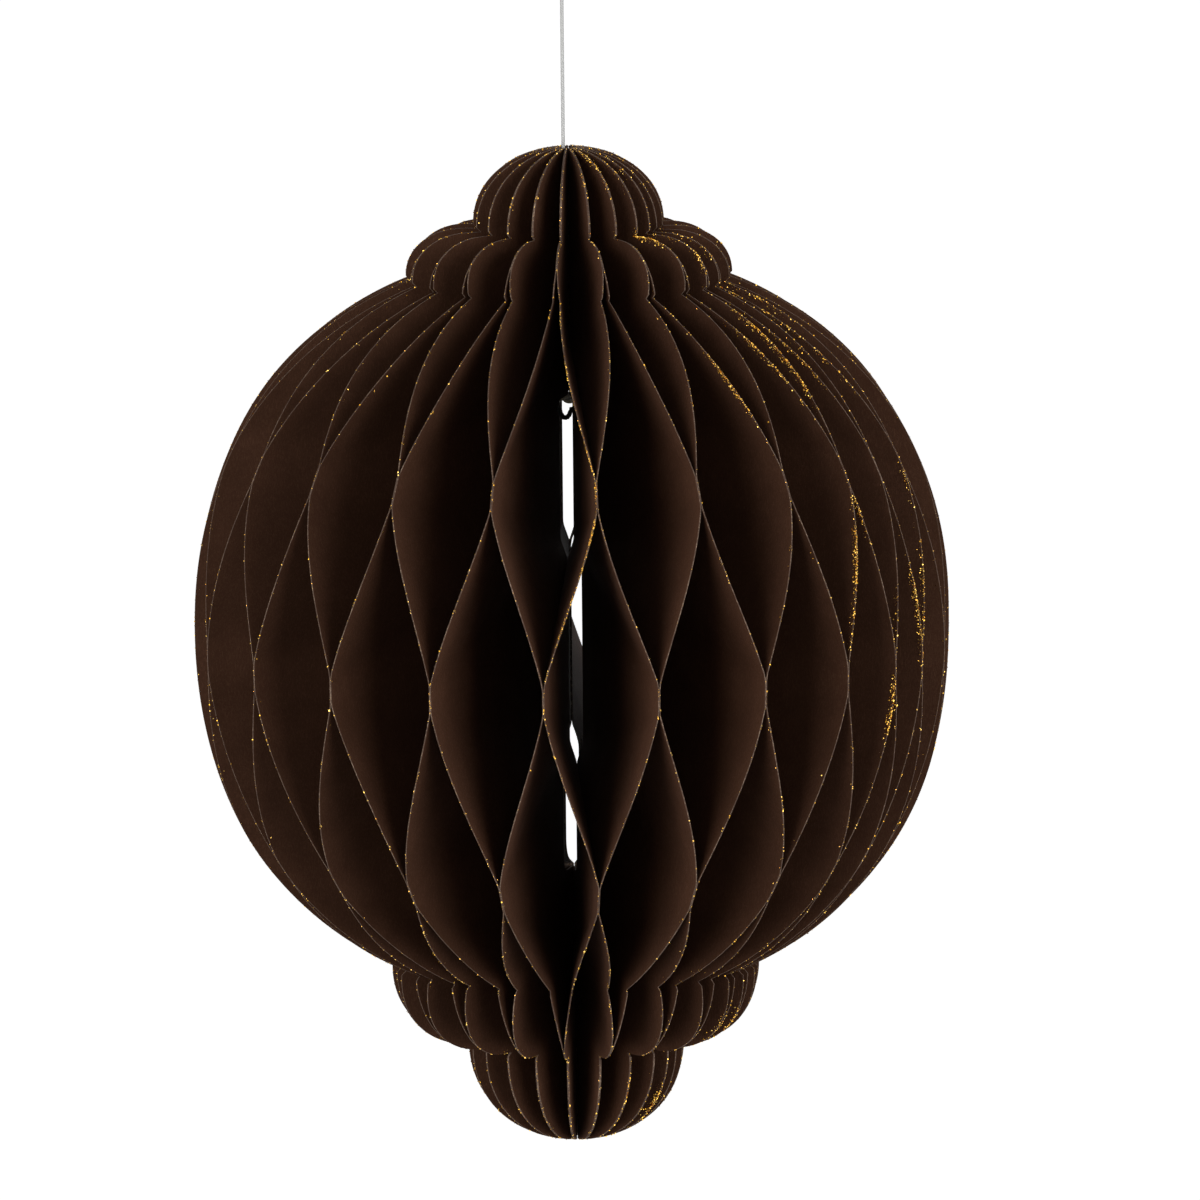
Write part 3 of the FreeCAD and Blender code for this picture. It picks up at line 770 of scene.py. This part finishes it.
def add_bump(tree, shader, height, distance, strength=1.0):
    """Bump from a height, in metres of relief."""
    bump = add_node(
        tree, "ShaderNodeBump", {"Height": height, "Distance": distance, "Strength": strength}
    )
    tree.links.new(bump.outputs[0], shader.inputs["Normal"])


def fibre_node(tree, per_metre):
    """Outputs of texture coordinates, and of pulp fibres on the Object ones."""
    coordinates = add_node(tree, "ShaderNodeTexCoord").outputs
    values = {"Vector": coordinates["Object"], "Fibres per metre": per_metre}
    return coordinates, add_node(tree, "ShaderNodeGroup", values, node_tree=fibre_group()).outputs


def card_face_material(finish):
    """Matte dyed card: mottled fibres, with a fuzzy paler line along the cut edges."""
    material, tree, shader = start_material("dyed_card", Specular_IOR_Level=0.08)
    coordinates, fibres = fibre_node(tree, FACE_FIBRES)
    to_rim = add_node(tree, "ShaderNodeSeparateXYZ", {"Vector": coordinates["UV"]}).outputs["X"]
    ragged = math_node(tree, "MULTIPLY", fibres["Shade"], WEAR_RAGGED)
    wear = map_range(tree, math_node(tree, "SUBTRACT", to_rim, ragged), 0.0, WEAR_WIDTH, 1.0, 0.0)
    wear = math_node(tree, "MULTIPLY", wear, WEAR_SHARE)
    body = blend_colours(tree, fibres["Shade"], finish.card_dark, finish.card_light)
    colour = blend_colours(tree, wear, body, finish.edge_light)
    tree.links.new(colour, shader.inputs["Base Color"])
    roughness = map_range(tree, fibres["Shade"], 0.0, 1.0, 0.92, 0.74)
    tree.links.new(roughness, shader.inputs["Roughness"])
    add_bump(tree, shader, fibres["Height"], FACE_RELIEF)
    return material


def card_edge_material(finish):
    """Cut edge of the card: pale core fibres broken by dyed ones."""
    material, tree, shader = start_material("cut_edge", Specular_IOR_Level=0.2)
    _, fibres = fibre_node(tree, EDGE_FIBRES)
    share = map_range(tree, fibres["Shade"], 0.2, 0.75)
    colour = blend_colours(tree, share, finish.edge_dark, finish.edge_light)
    tree.links.new(colour, shader.inputs["Base Color"])
    tree.links.new(map_range(tree, share, 0.0, 1.0, 0.95, 0.8), shader.inputs["Roughness"])
    add_bump(tree, shader, fibres["Height"], EDGE_RELIEF)
    return material


def glitter_material(finish):
    """Gold foil flakes, each of its own tint."""
    material, tree, shader = start_material("gold_glitter", Metallic=1.0)
    tint = add_node(tree, "ShaderNodeAttribute", attribute_name="tint").outputs["Fac"]
    colour = blend_colours(tree, tint, finish.gold_deep, finish.gold_pale)
    tree.links.new(colour, shader.inputs["Base Color"])
    tree.links.new(map_range(tree, tint, 0.0, 1.0, 0.34, 0.16), shader.inputs["Roughness"])
    return material


def yarn_material(name, colour, shade, strands=3.0, pitch=0.0022, relief=0.00006, upright=False):
    """Twisted yarn, read from a UV map of turns around and metres along, or from the place on
    an upright cord."""
    material, tree, shader = start_material(
        name, Specular_IOR_Level=0.3, Sheen_Weight=0.25, Sheen_Roughness=0.5
    )
    coordinates = add_node(tree, "ShaderNodeTexCoord").outputs["Object" if upright else "UV"]
    place = add_node(tree, "ShaderNodeSeparateXYZ", {"Vector": coordinates}).outputs
    around, along = place["X"], place["Y"]
    if upright:
        turn = math_node(tree, "ARCTAN2", place["Y"], place["X"])
        around, along = math_node(tree, "DIVIDE", turn, 2 * math.pi), place["Z"]
    values = {"Around": around, "Along": along, "Strands": strands, "Pitch": pitch}
    twist = add_node(tree, "ShaderNodeGroup", values, node_tree=twist_group()).outputs
    ridge, fuzz = twist["Ridge"], twist["Fuzz"]
    # Painted shade: the colour turns to the shade colour in the grooves between the strands, where the
    # ridge is low
    lit = math_node(tree, "MULTIPLY", ridge, map_range(tree, fuzz, 0.2, 0.8, 0.7, 1.0))
    tree.links.new(blend_colours(tree, lit, shade, colour), shader.inputs["Base Color"])
    tree.links.new(map_range(tree, fuzz, 0.2, 0.8, 0.6, 0.85), shader.inputs["Roughness"])
    height = math_node(tree, "ADD", ridge, math_node(tree, "MULTIPLY", fuzz, 0.3))
    add_bump(tree, shader, height, relief)
    return material


def ball_form():
    """The ball's form from the scene's settings."""
    return BallForm(bpy.context.scene.card_ball)


def settle(made, slot, *nodes):
    """Puts a piece on the one body and hides the nodes it stands for; the slot is not used."""
    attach(made, "root")
    if nodes:
        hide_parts(*nodes)
    return made


class CARDBALL_OT_leaves(Operator):
    """Build the smooth card leaves in place of the folded ones"""

    bl_idname = "card_ball.leaves"
    bl_label = "Card leaves"

    def execute(self, context):
        form = ball_form()
        finish = context.scene.card_ball.card
        materials = [card_face_material(finish), card_edge_material(finish)]
        rim_radius, rim_depth = form.rim_line()
        inner_radius, inner_depth = form.inner_line(rim_depth)
        share = LEAF_COLUMNS[None, :]
        radius = inner_radius[:, None] * (1 - share) + rim_radius[:, None] * share
        depth = inner_depth[:, None] * (1 - share) + rim_depth[:, None] * share
        hole_row = self.open_hole(form, radius, depth)
        rows, columns = radius.shape
        faces, cut_count = self.leaf_faces(rows, columns, hole_row)
        to_rim = np.hypot(radius - rim_radius[:, None], depth - rim_depth[:, None])
        along = path_lengths(np.stack([rim_radius, rim_depth], axis=-1))
        uv = np.stack([to_rim, np.broadcast_to(along[:, None], to_rim.shape)], axis=-1)
        uv = np.tile(uv.reshape(-1, 2), (2, 1))
        face_materials = np.zeros(len(faces), dtype=np.int32)
        face_materials[-cut_count:] = 1
        for leaf, node in enumerate(LEAF_NODES):
            front = form.place(leaf, radius, depth, 1).reshape(-1, 3)
            back = form.place(leaf, radius, depth, -1).reshape(-1, 3)
            points = np.concatenate([front, back])
            made = make_mesh(f"card_{node}", points, [faces], materials, face_materials)
            corner_uv(made, uv)
            settle(made, "brown_card", node)
        return {"FINISHED"}

    @staticmethod
    def open_hole(form, radius, depth):
        """Moves four grid corners to a square round the thread's hole; gives the upper row."""
        reach = (form.cord.thread_thickness / 2 + form.cord.thread_hole_clearance) / math.sqrt(2)
        wide = np.flatnonzero(radius[:, -1] > form.thread_radius)
        share = (form.thread_radius - radius[wide, 0]) / (radius[wide, -1] - radius[wide, 0])
        line = depth[wide, 0] + (depth[wide, -1] - depth[wide, 0]) * share
        row = int(wide[line < form.thread_depth][-1])
        left, right = HOLE_COLUMN, HOLE_COLUMN + 1
        radius[row:row + 2, left] = form.thread_radius - reach
        radius[row:row + 2, right] = form.thread_radius + reach
        depth[row, left:right + 1] = form.thread_depth - reach
        depth[row + 1, left:right + 1] = form.thread_depth + reach
        return row

    @staticmethod
    def leaf_faces(rows, columns, hole_row):
        """Quads of both faces without the hole's, and the cut walls, last, with their count."""
        count = rows * columns
        front = grid_quads(rows, columns)
        hole = hole_row * (columns - 1) + HOLE_COLUMN
        gap = front[hole]
        front = np.delete(front, hole, axis=0)
        back = front[:, ::-1] + count
        top = np.arange(columns)
        right = np.arange(rows) * columns + columns - 1
        rim = np.concatenate([top, right[1:], (rows - 1) * columns + top[::-1][1:],
                              right[::-1][1:] - columns + 1])
        start, end = rim[:-1], rim[1:]
        walls = np.stack([end, start, start + count, end + count], axis=-1)
        hole_end = np.roll(gap, -1)
        hole_walls = np.stack([gap, hole_end, hole_end + count, gap + count], axis=-1)
        return np.concatenate([front, back, walls, hole_walls]), len(walls) + len(hole_walls)


class CARDBALL_OT_glitter(Operator):
    """Scatter gold flakes along the cut edges, more of them in patches"""

    bl_idname = "card_ball.glitter"
    bl_label = "Glitter"

    def execute(self, context):
        form = ball_form()
        finish = context.scene.card_ball.card
        draws = np.random.default_rng(SEED + 1)
        rim_radius, rim_depth = form.rim_line()
        along = path_lengths(np.stack([rim_radius, rim_depth], axis=-1))
        tries = finish.flake_tries
        leaves = draws.integers(0, form.leaf_count, tries)
        places = draws.uniform(0, along[-1], tries)
        radius = np.interp(places, along, rim_radius)
        depth = np.interp(places, along, rim_depth)
        strength = self.strength(form, leaves, radius, depth, finish.flake_base)
        clumps = CLUMP_LEAST + CLUMP_RANGE * draws.random(form.leaf_count)[leaves]
        waves = np.sin(places * CLUMP_WAVES[0] + leaves * CLUMP_SHIFT)
        waves = waves * np.sin(places * CLUMP_WAVES[1] + leaves)
        clumps = clumps * (1 + CLUMP_SWING * waves)
        kept = draws.random(tries) < strength * clumps / FLAKE_FULL_STRENGTH
        leaves, radius, depth, strength = leaves[kept], radius[kept], depth[kept], strength[kept]
        in_patch = strength > PATCH_STRENGTH * finish.flake_base
        outward = np.interp(places[kept], along, np.gradient(rim_depth, along))
        downward = -np.interp(places[kept], along, np.gradient(rim_radius, along))
        on_face = draws.random(len(radius)) < np.where(in_patch, PATCH_FACE_SHARE, FACE_SHARE)
        reach = np.where(in_patch, finish.patch_spill, finish.flake_spill)
        spill = np.minimum(draws.exponential(reach), SPILL_REACHES * reach) * on_face
        to_front = np.where(np.cos(form.turns[leaves]) > 0, -1.0, 1.0)
        side = np.where(in_patch, to_front, draws.choice([-1.0, 1.0], len(radius)))
        lift = np.where(on_face, FACE_LIFT * side, draws.uniform(-EDGE_LIFT, EDGE_LIFT, len(radius)))
        proud = np.where(on_face, 0.0, EDGE_PROUD)
        radius = radius + (proud - spill) * outward
        depth = depth + (proud - spill) * downward
        centres = np.empty((len(radius), 3))
        for leaf in range(form.leaf_count):
            own = leaves == leaf
            centres[own] = form.place(leaf, radius[own], depth[own], lift[own])
        made = self.flakes(centres, finish, draws)
        settle(made, "brown_card")
        return {"FINISHED"}

    @staticmethod
    def strength(form, leaves, radius, depth, base):
        """Base strength plus a bell curve about each patch, in direction and depth. The leaf
        nearest to a patch has its full strength."""
        right = np.degrees(form.turns + np.pi / 2)
        total = np.full(len(radius), base)
        for _, direction, place, spread, height, strong in GLITTER_PATCHES:
            sideways = ((right - direction + 180) % 360 - 180) / spread
            share = np.exp(-2 * sideways**2)
            share = share / share.max()
            up = (depth / MM - place) / height
            total += PATCH_GAIN * strong * share[leaves] * np.exp(-up**2)
        return total

    @staticmethod
    def flakes(centres, finish, draws):
        """Flat eight-sided flakes: two pyramids on a crooked square, turned at random."""
        count = len(centres)
        normal = unit(draws.normal(size=(count, 3)))
        first = unit(np.cross(normal, draws.normal(size=(count, 3))))
        second = np.cross(normal, first)
        size = finish.flake_small + (finish.flake_large - finish.flake_small) * draws.random(count) ** 2
        wide = (first * size[:, None], second * (size * draws.uniform(FLAKE_CROOKED, 1.0, count))[:, None])
        thin = normal * (FLAKE_THINNESS * size)[:, None]
        corners = np.stack([wide[0], wide[1], -wide[0], -wide[1], thin, -thin], axis=1)
        points = (centres[:, None] + corners).reshape(-1, 3)
        around = np.arange(4)
        over = np.stack([around, (around + 1) % 4, np.full(4, 4)], axis=-1)
        under = np.stack([(around + 1) % 4, around, np.full(4, 5)], axis=-1)
        faces = np.concatenate([over, under])[None] + 6 * np.arange(count)[:, None, None]
        made = make_mesh("gold_glitter", points, [faces.reshape(-1, 3)], [glitter_material(finish)],
                         sharp_degrees=5)
        tint = made.data.attributes.new("tint", "FLOAT", "POINT")
        tint.data.foreach_set("value", np.repeat(draws.random(count), 6).astype(np.float32))
        return made


class CARDBALL_OT_binding_thread(Operator):
    """Wind the dark thread through the leaves round the hollow core"""

    bl_idname = "card_ball.binding_thread"
    bl_label = "Binding thread"

    def execute(self, context):
        form = ball_form()
        sizes = context.scene.card_ball.cord
        path = self.route(form, sizes)
        outward = path - np.array([form.fold.ball_offset, 0, 0])
        outward[:, 2] = 0
        spokes = unit(outward)
        radius = sizes.thread_thickness / 2
        strands, strand_radius, sides = THREAD_STRANDS, radius / 2, THREAD_SIDES
        turns = np.linspace(0, 2 * np.pi * THREAD_TWISTS, len(path), endpoint=False)
        looped = np.concatenate([path[-1:], path, path[:1]])
        ahead = unit(np.gradient(looped, axis=0)[1:-1])
        side = unit(np.cross(ahead, spokes))
        up = np.cross(side, ahead)
        parts = []
        for strand in range(strands):
            phase = (turns + 2 * np.pi * strand / strands)[:, None]
            wound = path + (radius - strand_radius) * (np.cos(phase) * up + np.sin(phase) * side)
            parts.append(tube_parts(wound, spokes, strand_radius, sides, closed=True))
        points, faces = join_parts(parts)
        material = yarn_material(
            "dark_yarn", sizes.thread_colour, sizes.thread_shade,
            strands=2.0, pitch=0.0009, relief=0.00003,
        )
        made = make_mesh("wound_binding_thread", points, faces, [material])
        around = np.tile(np.arange(sides) / sides, len(points) // sides)
        along = np.tile(np.repeat(path_lengths(path), sides), strands)
        corner_uv(made, np.stack([around, along], axis=-1))
        settle(made, "dark_thread", "binding_thread")
        return {"FINISHED"}

    @staticmethod
    def route(form, sizes):
        """Closed line through the leaves: straight through each glued pair, and between two
        pairs a sag of the full depth times 1 - |2 share - 1|^SAG_POWER."""
        leaves = np.arange(form.leaf_count)
        swing = np.where(leaves % 2 == 0, 1.0, -1.0)
        reach = form.thread_radius - form.still_lines
        sideways = form.side_steps + swing * np.tan(form.half_angles) * reach
        sideways = sideways - swing * (sizes.thread_straight + form.fold.card / 2)
        plan = (form.thread_radius + 1j * sideways) * np.exp(1j * form.turns)
        start, end = plan[1::2], np.roll(plan[0::2], -1)
        share = np.linspace(0, 1, SAG_POINTS)[None, :-1]
        bow = start[:, None] * (1 - share) + end[:, None] * share
        drop = sizes.thread_sag * (1 - np.abs(2 * share - 1) ** SAG_POWER) + 0 * bow.real
        inside = np.linspace(0, 1, THROUGH_POINTS)[None, :-1]
        through = plan[0::2, None] * (1 - inside) + plan[1::2, None] * inside
        flat = np.concatenate([through, bow], axis=1).ravel()
        drops = np.concatenate([np.zeros(through.shape), drop], axis=1).ravel()
        height = form.top - form.thread_depth - drops
        return np.stack([flat.real + form.fold.ball_offset, flat.imag, height], axis=-1)


class CARDBALL_OT_knots(Operator):
    """Tie the knot inside the ball and the knot under the loop"""

    bl_idname = "card_ball.knots"
    bl_label = "Knots"

    def execute(self, context):
        sizes = context.scene.card_ball.cord
        pale = yarn_material("knot_yarn", sizes.cord_colour, sizes.cord_shade)
        # The inner knot gets painted shade: a dark brown in place of the grey cord's own colour
        dark = yarn_material("dark_knot_yarn", sizes.shaded_knot_colour, sizes.thread_shade)
        radius = sizes.cord_thickness / 2
        self.overhand(radius, dark)
        self.wound(radius, pale)
        return {"FINISHED"}

    @staticmethod
    def overhand(radius, material):
        """Overhand knot: a trefoil, (middle + ring cos 3t) round the axis twice, height sin 3t,
        and the cord's own end down through it."""
        top, foot = INNER_KNOT_TOP.z, INNER_KNOT_FOOT.z
        widest = INNER_KNOT_TOP.x - radius
        turn = np.linspace(0, 2 * np.pi, INNER_KNOT_POINTS, endpoint=False)
        ring = (widest - radius) / 3
        reach = widest - ring + ring * np.cos(3 * turn)
        height = (top + foot) / 2 + ((top - foot) / 2 - radius) * np.sin(3 * turn)
        path = np.stack([reach * np.cos(2 * turn), reach * np.sin(2 * turn), height], axis=-1)
        spokes = np.stack([np.cos(2 * turn), np.sin(2 * turn), 0 * turn], axis=-1)
        sides = INNER_KNOT_SIDES
        drop = np.linspace(top, foot, STRAND_POINTS)
        tail = np.stack([0 * drop, 0 * drop, drop], axis=-1)
        tail_spokes = np.tile([1.0, 0.0, 0.0], (STRAND_POINTS, 1))
        parts = [tube_parts(path, spokes, radius, sides, closed=True),
                 tube_parts(tail, tail_spokes, radius, sides)]
        made = tube_object("inner_overhand_knot", parts, sides, material)
        settle(made, "grey_cord", "cord_knot")

    @staticmethod
    def wound(radius, material):
        """Knot of the loop: turns of cord wound round its two strands, as a helix whose ends
        tuck in."""
        top, foot = LOOP_KNOT_TOP.z, LOOP_KNOT_FOOT.z
        widest = LOOP_KNOT_TOP.x - radius
        share = np.linspace(0, 1, WOUND_KNOT_POINTS)
        tuck = np.clip(np.minimum(share, 1 - share) / KNOT_TUCK, 0, 1)
        reach = widest * (KNOT_INNER + (1 - KNOT_INNER) * tuck * tuck * (3 - 2 * tuck))
        turn = 2 * np.pi * KNOT_TURNS * share
        height = foot + radius + (top - foot - 2 * radius) * share
        path = np.stack([reach * np.cos(turn), reach * np.sin(turn), height], axis=-1)
        spokes = np.tile([0.0, 0.0, 1.0], (len(path), 1))
        sides = WOUND_KNOT_SIDES
        drop = np.linspace(foot + STRAND_INSET, top - STRAND_INSET, STRAND_POINTS)
        strand_spokes = np.tile([1.0, 0.0, 0.0], (STRAND_POINTS, 1))
        strands = []
        for side in (-1, 1):
            strand = np.stack([side * radius + 0 * drop, 0 * drop, drop], axis=-1)
            strands.append(tube_parts(strand, strand_spokes, radius, sides))
        parts = [tube_parts(path, spokes, radius, sides)] + strands
        made = tube_object("wound_loop_knot", parts, sides, material)
        settle(made, "grey_cord", "loop_knot")


class CARDBALL_OT_loop(Operator):
    """Bend the loop of cord that goes over a hook"""

    bl_idname = "card_ball.loop"
    bl_label = "Hanging loop"

    def execute(self, context):
        sizes = context.scene.card_ball.cord
        radius = sizes.cord_thickness / 2
        round_radius = LOOP_TOP.x - radius
        centre = LOOP_TOP.z - radius - round_radius
        start = np.array([-radius, LOOP_KNOT_TOP.z])
        to_start = start - np.array([0, centre])
        reach = math.hypot(*to_start)
        touch_turn = math.atan2(to_start[1], to_start[0]) - math.acos(round_radius / reach)
        turns = np.linspace(touch_turn, -3 * math.pi - touch_turn, ARC_POINTS)
        arc = np.stack([round_radius * np.cos(turns), centre + round_radius * np.sin(turns)], axis=-1)
        share = np.linspace(0, 1, RISE_POINTS)[:-1, None]
        rise = start * (1 - share) + arc[0] * share
        path = np.concatenate([rise, arc, (rise * [-1, 1])[::-1]])
        path = np.stack([path[:, 0], 0 * path[:, 0], path[:, 1]], axis=-1)
        spokes = np.tile([0.0, 1.0, 0.0], (len(path), 1))
        sides = LOOP_SIDES
        material = yarn_material("loop_yarn", sizes.cord_colour, sizes.cord_shade)
        made = tube_object("cord_loop", [tube_parts(path, spokes, radius, sides)], sides, material)
        settle(made, "grey_cord", "hanging_loop")
        return {"FINISHED"}


class CARDBALL_OT_cord(Operator):
    """Draw the taut cord from the inner knot to the loop's knot"""

    bl_idname = "card_ball.cord"
    bl_label = "Hanging cord"

    def execute(self, context):
        sizes = context.scene.card_ball.cord
        foot, top = CORD_FOOT.z, CORD_TOP.z
        curve = bpy.data.curves.new("taut_cord", "CURVE")
        curve.dimensions = "3D"
        curve.bevel_depth = sizes.cord_thickness / 2
        curve.bevel_resolution = 4
        curve.use_fill_caps = True
        heights = [foot, foot + (top - foot) / 3, top - (top - foot) / 3, top]
        spline = curve.splines.new("NURBS")
        spline.points.add(len(heights) - 1)
        for point, height in zip(spline.points, heights):
            point.co = (0.0, 0.0, height, 1.0)
        spline.order_u = 3
        spline.use_endpoint_u = True
        made = bpy.data.objects.new("taut_hanging_cord", curve)
        context.scene.collection.objects.link(made)
        curve.materials.append(
            yarn_material("cord_yarn", sizes.cord_colour, sizes.cord_shade, upright=True)
        )
        settle(made, "grey_cord", "hanging_cord")
        return {"FINISHED"}


class CARDBALL_OT_stage(Operator):
    """Set the pale floor, the soft lights and the camera"""

    bl_idname = "card_ball.stage"
    bl_label = "Stage"

    def execute(self, context):
        settings = context.scene.card_ball.stage
        self.room(context, settings)
        self.floor(settings)
        self.lamps(context, settings)
        self.camera(context, settings)
        context.scene.view_settings.view_transform = "Standard"
        return {"FINISHED"}

    @staticmethod
    def seen_directly(tree):
        """1 for rays that show the background: camera, glossy and transmission rays."""
        rays = add_node(tree, "ShaderNodeLightPath").outputs
        seen = math_node(tree, "MAXIMUM", rays["Is Camera Ray"], rays["Is Glossy Ray"])
        return math_node(tree, "MAXIMUM", seen, rays["Is Transmission Ray"])

    def room(self, context, settings):
        world = bpy.data.worlds.new("white_room")
        world.use_nodes = True
        context.scene.world = world
        tree = world.node_tree
        tree.nodes.clear()
        shown = add_node(tree, "ShaderNodeBackground", {"Color": (1, 1, 1, 1), "Strength": 1.0})
        light = add_node(
            tree, "ShaderNodeBackground", {"Color": (1, 1, 1, 1), "Strength": settings.room_light}
        )
        mix = add_node(tree, "ShaderNodeMixShader", {0: self.seen_directly(tree)})
        tree.links.new(light.outputs[0], mix.inputs[1])
        tree.links.new(shown.outputs[0], mix.inputs[2])
        output = add_node(tree, "ShaderNodeOutputWorld")
        tree.links.new(mix.outputs[0], output.inputs["Surface"])

    def floor(self, settings):
        half, height = FLOOR_HALF_WIDTH, -settings.floor_drop
        corners = ((-half, -half), (half, -half), (half, half), (-half, half))
        points = np.array([(*corner, height) for corner in corners])
        material = bpy.data.materials.new("pale_floor")
        material.use_nodes = True
        tree = material.node_tree
        tree.nodes.clear()
        diffuse = add_node(tree, "ShaderNodeBsdfDiffuse", {"Color": (FLOOR_GREY,) * 3 + (1,)})
        strength = math_node(tree, "MULTIPLY", self.seen_directly(tree), FLOOR_GLOW)
        glow = add_node(tree, "ShaderNodeEmission", {"Color": (1, 1, 1, 1), "Strength": strength})
        both = add_node(tree, "ShaderNodeAddShader")
        tree.links.new(diffuse.outputs[0], both.inputs[0])
        tree.links.new(glow.outputs[0], both.inputs[1])
        output = add_node(tree, "ShaderNodeOutputMaterial")
        tree.links.new(both.outputs[0], output.inputs["Surface"])
        made = make_mesh("floor", points, [np.array([[0, 1, 2, 3]])], [material])

    @staticmethod
    def lamps(context, settings):
        middle = (CAD_BOX[0] + CAD_BOX[1]) / 2
        for name, offset, width, power in LAMPS:
            place = Vector(offset)
            lamp = bpy.data.lights.new(name, "AREA")
            lamp.size = width
            lamp.energy = getattr(settings, power)
            made = bpy.data.objects.new(name, lamp)
            made.location = middle + place
            made.rotation_mode = "QUATERNION"
            made.rotation_quaternion = place.to_track_quat("Z", "Y")
            context.scene.collection.objects.link(made)

    @staticmethod
    def camera(context, settings):
        """Camera far off with a long lens: the ball's top is at its place in the photograph,
        and the photograph's scale holds at the ball's middle."""
        form = ball_form()
        tilt, roll = settings.camera_elevation, settings.camera_roll
        right = Vector((1, 0, 0))
        up = Vector((0, math.sin(tilt), math.cos(tilt)))
        back = Vector((0, -math.cos(tilt), math.sin(tilt)))
        rolled_right = right * math.cos(roll) - up * math.sin(roll)
        rolled_up = up * math.cos(roll) + right * math.sin(roll)
        ball_top = Vector((form.fold.ball_offset, 0, form.top))
        middle = Vector((form.fold.ball_offset, 0, form.top - form.body_ring))
        half = PHOTO_WIDTH_PX / 2
        aim = ball_top + rolled_right * ((half - BALL_TOP_PX[0]) / PHOTO_PX_PER_METRE)
        aim = aim - rolled_up * ((half - BALL_TOP_PX[1]) / PHOTO_PX_PER_METRE)
        aim = aim + back * (middle - aim).dot(back)
        data = bpy.data.cameras.new("camera")
        width = PHOTO_WIDTH_PX / PHOTO_PX_PER_METRE
        data.lens = data.sensor_width * settings.camera_distance / width
        data.clip_start = 0.1
        data.clip_end = 200.0
        made = bpy.data.objects.new("camera", data)
        context.scene.collection.objects.link(made)
        turn = Matrix((rolled_right, rolled_up, back)).transposed().to_4x4()
        made.matrix_world = Matrix.Translation(aim + back * settings.camera_distance) @ turn
        context.scene.camera = made


class CARDBALL_PT_panel(Panel):
    """Lists the card ball's settings and the steps that build it"""

    bl_idname = "CARDBALL_PT_panel"
    bl_label = "Card Ball"
    bl_space_type = "VIEW_3D"
    bl_region_type = "UI"
    bl_category = "Card Ball"

    def draw(self, context):
        settings = context.scene.card_ball
        for group in (settings.outline, settings.fold, settings.card, settings.cord, settings.stage):
            box = self.layout.box()
            box.label(text=group.bl_rna.name)
            for name in group.__annotations__:
                box.prop(group, name)
        for operator in OPERATORS:
            self.layout.operator(operator.bl_idname)


GROUPS = (BallOutline, LeafFold, CardFinish, CordFinish, StageSettings, CardBallSettings)
OPERATORS = (
    CARDBALL_OT_leaves,
    CARDBALL_OT_glitter,
    CARDBALL_OT_binding_thread,
    CARDBALL_OT_knots,
    CARDBALL_OT_loop,
    CARDBALL_OT_cord,
    CARDBALL_OT_stage,
)


def register():
    for item in GROUPS + OPERATORS + (CARDBALL_PT_panel,):
        bpy.utils.register_class(item)
    bpy.types.Scene.card_ball = PointerProperty(type=CardBallSettings)


def unregister():
    del bpy.types.Scene.card_ball
    for item in reversed(GROUPS + OPERATORS + (CARDBALL_PT_panel,)):
        bpy.utils.unregister_class(item)


def main():
    register()
    bpy.ops.card_ball.leaves()
    bpy.ops.card_ball.glitter()
    bpy.ops.card_ball.binding_thread()
    bpy.ops.card_ball.knots()
    bpy.ops.card_ball.loop()
    bpy.ops.card_ball.cord()
    bpy.ops.card_ball.stage()


if __name__ == "__main__":
    main()
